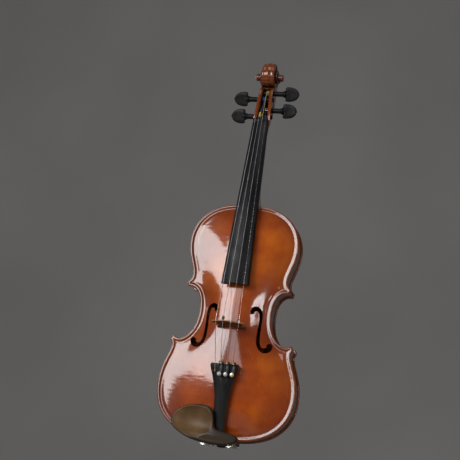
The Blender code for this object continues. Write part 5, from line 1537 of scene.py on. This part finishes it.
def make_chin_rest():
    low, high = REST_HEIGHTS
    outline = smooth_loop(REST_OUTLINE, 6)[::-1]
    if area(outline) > 0:
        outline = outline[::-1]

    def front(x, z, d):
        u = np.sqrt(((x + 36 * MM) / (30 * MM)) ** 2 + ((z - 22 * MM) / (22.5 * MM)) ** 2)
        dish = 6.2 * MM * np.clip(1 - u ** 2, 0, 1) ** 1.1
        bar = np.clip((x + 4 * MM) / (34 * MM), 0, 1)
        ridge = 1.0 * MM * np.exp(-((z - 4 * MM + 0.1 * x) / (5 * MM)) ** 2)
        return high - rounded_in(d, 3.6 * MM) - dish - 2.6 * MM * bar ** 1.5 + ridge * (1 - bar)

    def under(x, z, d):
        return low + rounded_in(d, 1.6 * MM)

    rings = [depth * MM for depth in (0.15, 0.5, 1.0, 1.7, 2.5, 3.4, 4.4)]
    rest = sheet(outline, [], front, under, rings, 2.2 * MM, edge_pitch=1.1 * MM, smooth_from=0.3 * MM)
    # Marks the dish's upturned face for the lighter copy of the wood; the faces left unmarked get the painted
    # shade.
    hollow = rest.attributes.new("hollow", "FLOAT", "POINT")
    for vert, mark in zip(rest.vertices, hollow.data):
        u = sqrt(((vert.co.x + 36 * MM) / (30 * MM)) ** 2 + ((vert.co.z - 22 * MM) / (22.5 * MM)) ** 2)
        mark.value = min(max((1.12 - u) / 0.24, 0), 1) * (1 if vert.co.y < -high + 8 * MM else 0)
    put("chin_rest_plate", rest, BODY, LOOK["rest"], "root", "chin_rest")
    for side, near, far in (("bass", -34 * MM, -18.5 * MM), ("treble", 18.5 * MM, 28 * MM)):
        leg = bevelled(block((near, -low - 1 * MM, 1.5 * MM), (far, -PLATE_EDGE - 1.7 * MM, 6 * MM)),
                       0.8 * MM)
        put(f"chin_rest_leg_{side}", leg, BODY, LOOK["rest"], "root")
        cork = bevelled(block((near + 0.2 * MM, -PLATE_EDGE - 1.8 * MM, 1.7 * MM),
                              (far - 0.2 * MM, -PLATE_EDGE - 0.2 * MM, 5.9 * MM)), 0.3 * MM)
        put(f"chin_rest_cork_{side}", cork, BODY, LOOK["cork"], "root")

    z = -CLAMP_DROP
    for side, x in (("bass", -CLAMP_HALF_SPACING), ("treble", CLAMP_HALF_SPACING)):
        turn = BODY @ Matrix.Translation((x, 0, z)) @ LAID_DOWN
        threads = [(LEG_RADIUS - (0.2 * MM if k % 2 else 0), (7 + 0.35 * k) * MM) for k in range(30)]
        stud = [(0, 6.2 * MM), (1.5 * MM, 6.2 * MM), *threads, (LEG_RADIUS, 18 * MM), (LEG_RADIUS, 24.9 * MM),
                (0, 25 * MM)]
        plate_ring = [(LEG_RADIUS, low - 1.2 * MM), (4.4 * MM, low - 1.2 * MM), (4.6 * MM, low - 0.8 * MM),
                      (4.6 * MM, low + 0.1 * MM), (LEG_RADIUS, low + 0.1 * MM)]
        put(f"clamp_stud_{side}", joined(lathe(stud, 28), lathe(plate_ring, 32)), turn, LOOK["nickel"],
            "root", f"chin_rest_stud_{side}")
        r, bore = BARREL_RADIUS, LEG_RADIUS + 0.1 * MM
        ends = []
        for sign in (1, -1):
            ends.append([(r - 0.5 * MM, sign * 12 * MM), (r - 0.05 * MM, sign * 11.7 * MM),
                         (r, sign * 11.2 * MM), (r, sign * 9.6 * MM),
                         (r - 0.35 * MM, sign * 9.4 * MM), (r - 0.35 * MM, sign * 8.9 * MM),
                         (r, sign * 8.7 * MM)])
        barrel = [(bore, 12 * MM)] + ends[0] + ends[1][::-1] + [(bore, -12 * MM), (bore, 12 * MM)]
        body = lathe(barrel, 36)
        key = lathe(mm([(0, -5), (0.9, -5), (0.9, 5), (0, 5)]), 16)
        for turned_by in (0, pi / 2):
            body = cut(body, moved(key.copy(), Matrix.Rotation(turned_by, 4, "Z") @ LAID_DOWN))
        place = BODY @ Matrix.Translation((x, BARREL_MIDDLE, z)) @ LAID_DOWN
        put(f"clamp_barrel_{side}", body, place, LOOK["nickel"], f"chin_rest_barrel_{side}",
            f"chin_rest_barrel_{side}")
    make_clamp_foot()


def make_clamp_foot():
    """The clamp's rear half: a plate with a cork face, two arms under the ribs and two threaded legs."""
    face = RIB_HEIGHT + PLATE_EDGE + GAP
    h = CLAMP_HALF_SPACING / MM
    right = [(h - 6, 2.4), (h - 3, 0.4), (h - 3, -6), (h - 1.6, -7), (h + 1.6, -7), (h + 3, -6), (h + 3, 0.4),
             (h + 5, 2.4),
             (h + 5, 6.4), (h + 3.6, 8)]
    outline = [(x * MM, z * MM) for x, z in right + [(-x, z) for x, z in right[::-1]]]
    plate_mesh = bevelled(slab([outline], face + 0.6 * MM, face + 2.2 * MM), 0.4 * MM, angle=60)
    cork = bevelled(block((-h * MM - 4.4 * MM, face, 2.8 * MM),
                          (h * MM + 4.4 * MM, face + 0.8 * MM, 7.6 * MM)), 0.3 * MM)
    legs = []
    for x in (-CLAMP_HALF_SPACING, CLAMP_HALF_SPACING):
        start, end = BARREL_MIDDLE + 3 * MM, face + 1.6 * MM
        threads = [(LEG_RADIUS - (0.2 * MM if k % 2 else 0), -start - 0.3 * MM - 0.35 * k * MM)
                   for k in range(34)]
        profile = [(0, -start), (1.5 * MM, -start), *threads, (LEG_RADIUS, -start - 12.5 * MM),
                   (LEG_RADIUS, -end), (0, -end)]
        legs.append(moved(lathe(profile, 28), Matrix.Translation((x, 0, -CLAMP_DROP)) @ LAID_DOWN))
    put("clamp_foot", joined(plate_mesh, *legs), BODY, LOOK["nickel"], "chin_rest_foot",
        "chin_rest_foot")
    put("clamp_cork", cork, BODY, LOOK["cork"], "chin_rest_foot")


def dress_inside():
    """The pieces inside the body keep their CAD shapes and get bare, lightly dusty wood."""
    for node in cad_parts:
        if "lining" in node or "block" in node or node in ("bass_bar", "sound_post"):
            for material_slot in bpy.data.objects[node].material_slots:
                material_slot.material = LOOK["inside"]


LOOK = {
    "spruce": spruce_varnish(),
    "back": flamed("back_maple_varnish", (0.25, 0.062, 0.008), (0.36, 0.10, 0.012), (0.10, 0.018, 0.004),
                   flame_scale=42,
                   edge=True, turn=(0, radians(8), 0)),
    "ribs": flamed("rib_maple_varnish", (0.14, 0.032, 0.007), (0.21, 0.055, 0.010), (0.045, 0.010, 0.003),
                   flame_scale=60,
                   strength=0.6),
    # The neck's maple gets painted shade in its crevices.
    "neck": flamed("neck_maple_varnish", (0.10, 0.017, 0.002), (0.24, 0.052, 0.004), (0.03, 0.005, 0.001),
                   flame_scale=70,
                   strength=0.55, painted_crevice_shade=True),
    "ebony": ebony(),
    "fingerboard": ebony("fingerboard_ebony", 0.32),
    "tailpiece": ebony("tailpiece_ebony", 0.36),
    "pegs": ebony("peg_ebony", 0.34),
    "tuners": plain("black_composite", (0.008, 0.008, 0.009), 0.42),
    "inside": bare_wood(),
    "bridge": bridge_maple(),
    "rest": chin_rest_wood(),
    "steel": metal("string_steel", (0.72, 0.72, 0.74), 0.2),
    "winding": winding("wound_silver", (0.66, 0.66, 0.68)),
    "nickel": metal("nickel", (0.60, 0.59, 0.56), 0.25),
    "screw": metal("dull_screw", (0.36, 0.35, 0.33), 0.4),
    "brass": metal("old_brass", (0.58, 0.45, 0.26), 0.3),
    "cork": plain("cork", (0.28, 0.17, 0.09), 0.85, speck=0.5, scale=900),
    "cord": plain("black_cord", (0.015, 0.015, 0.016), 0.5),
    "sleeve": plain("brown_rubber", (0.07, 0.03, 0.015), 0.5),
    "silk_green": silk("silk_green", (0.30, 0.34, 0.12)),
    "silk_yellow": silk("silk_yellow", (0.62, 0.44, 0.09)),
    "silk_olive": silk("silk_olive", (0.42, 0.38, 0.12)),
    "silk_blue": silk("silk_blue", (0.06, 0.10, 0.28)),
    "silk_red": silk("silk_red", (0.35, 0.05, 0.04)),
}

make_camera()
make_studio()
make_plates()
make_ribs()
make_neck()
make_fingerboard()
make_pegs()
make_bridge()
make_tailpiece()
make_tuners()
make_strings()
make_lower_end()
make_chin_rest()
dress_inside()
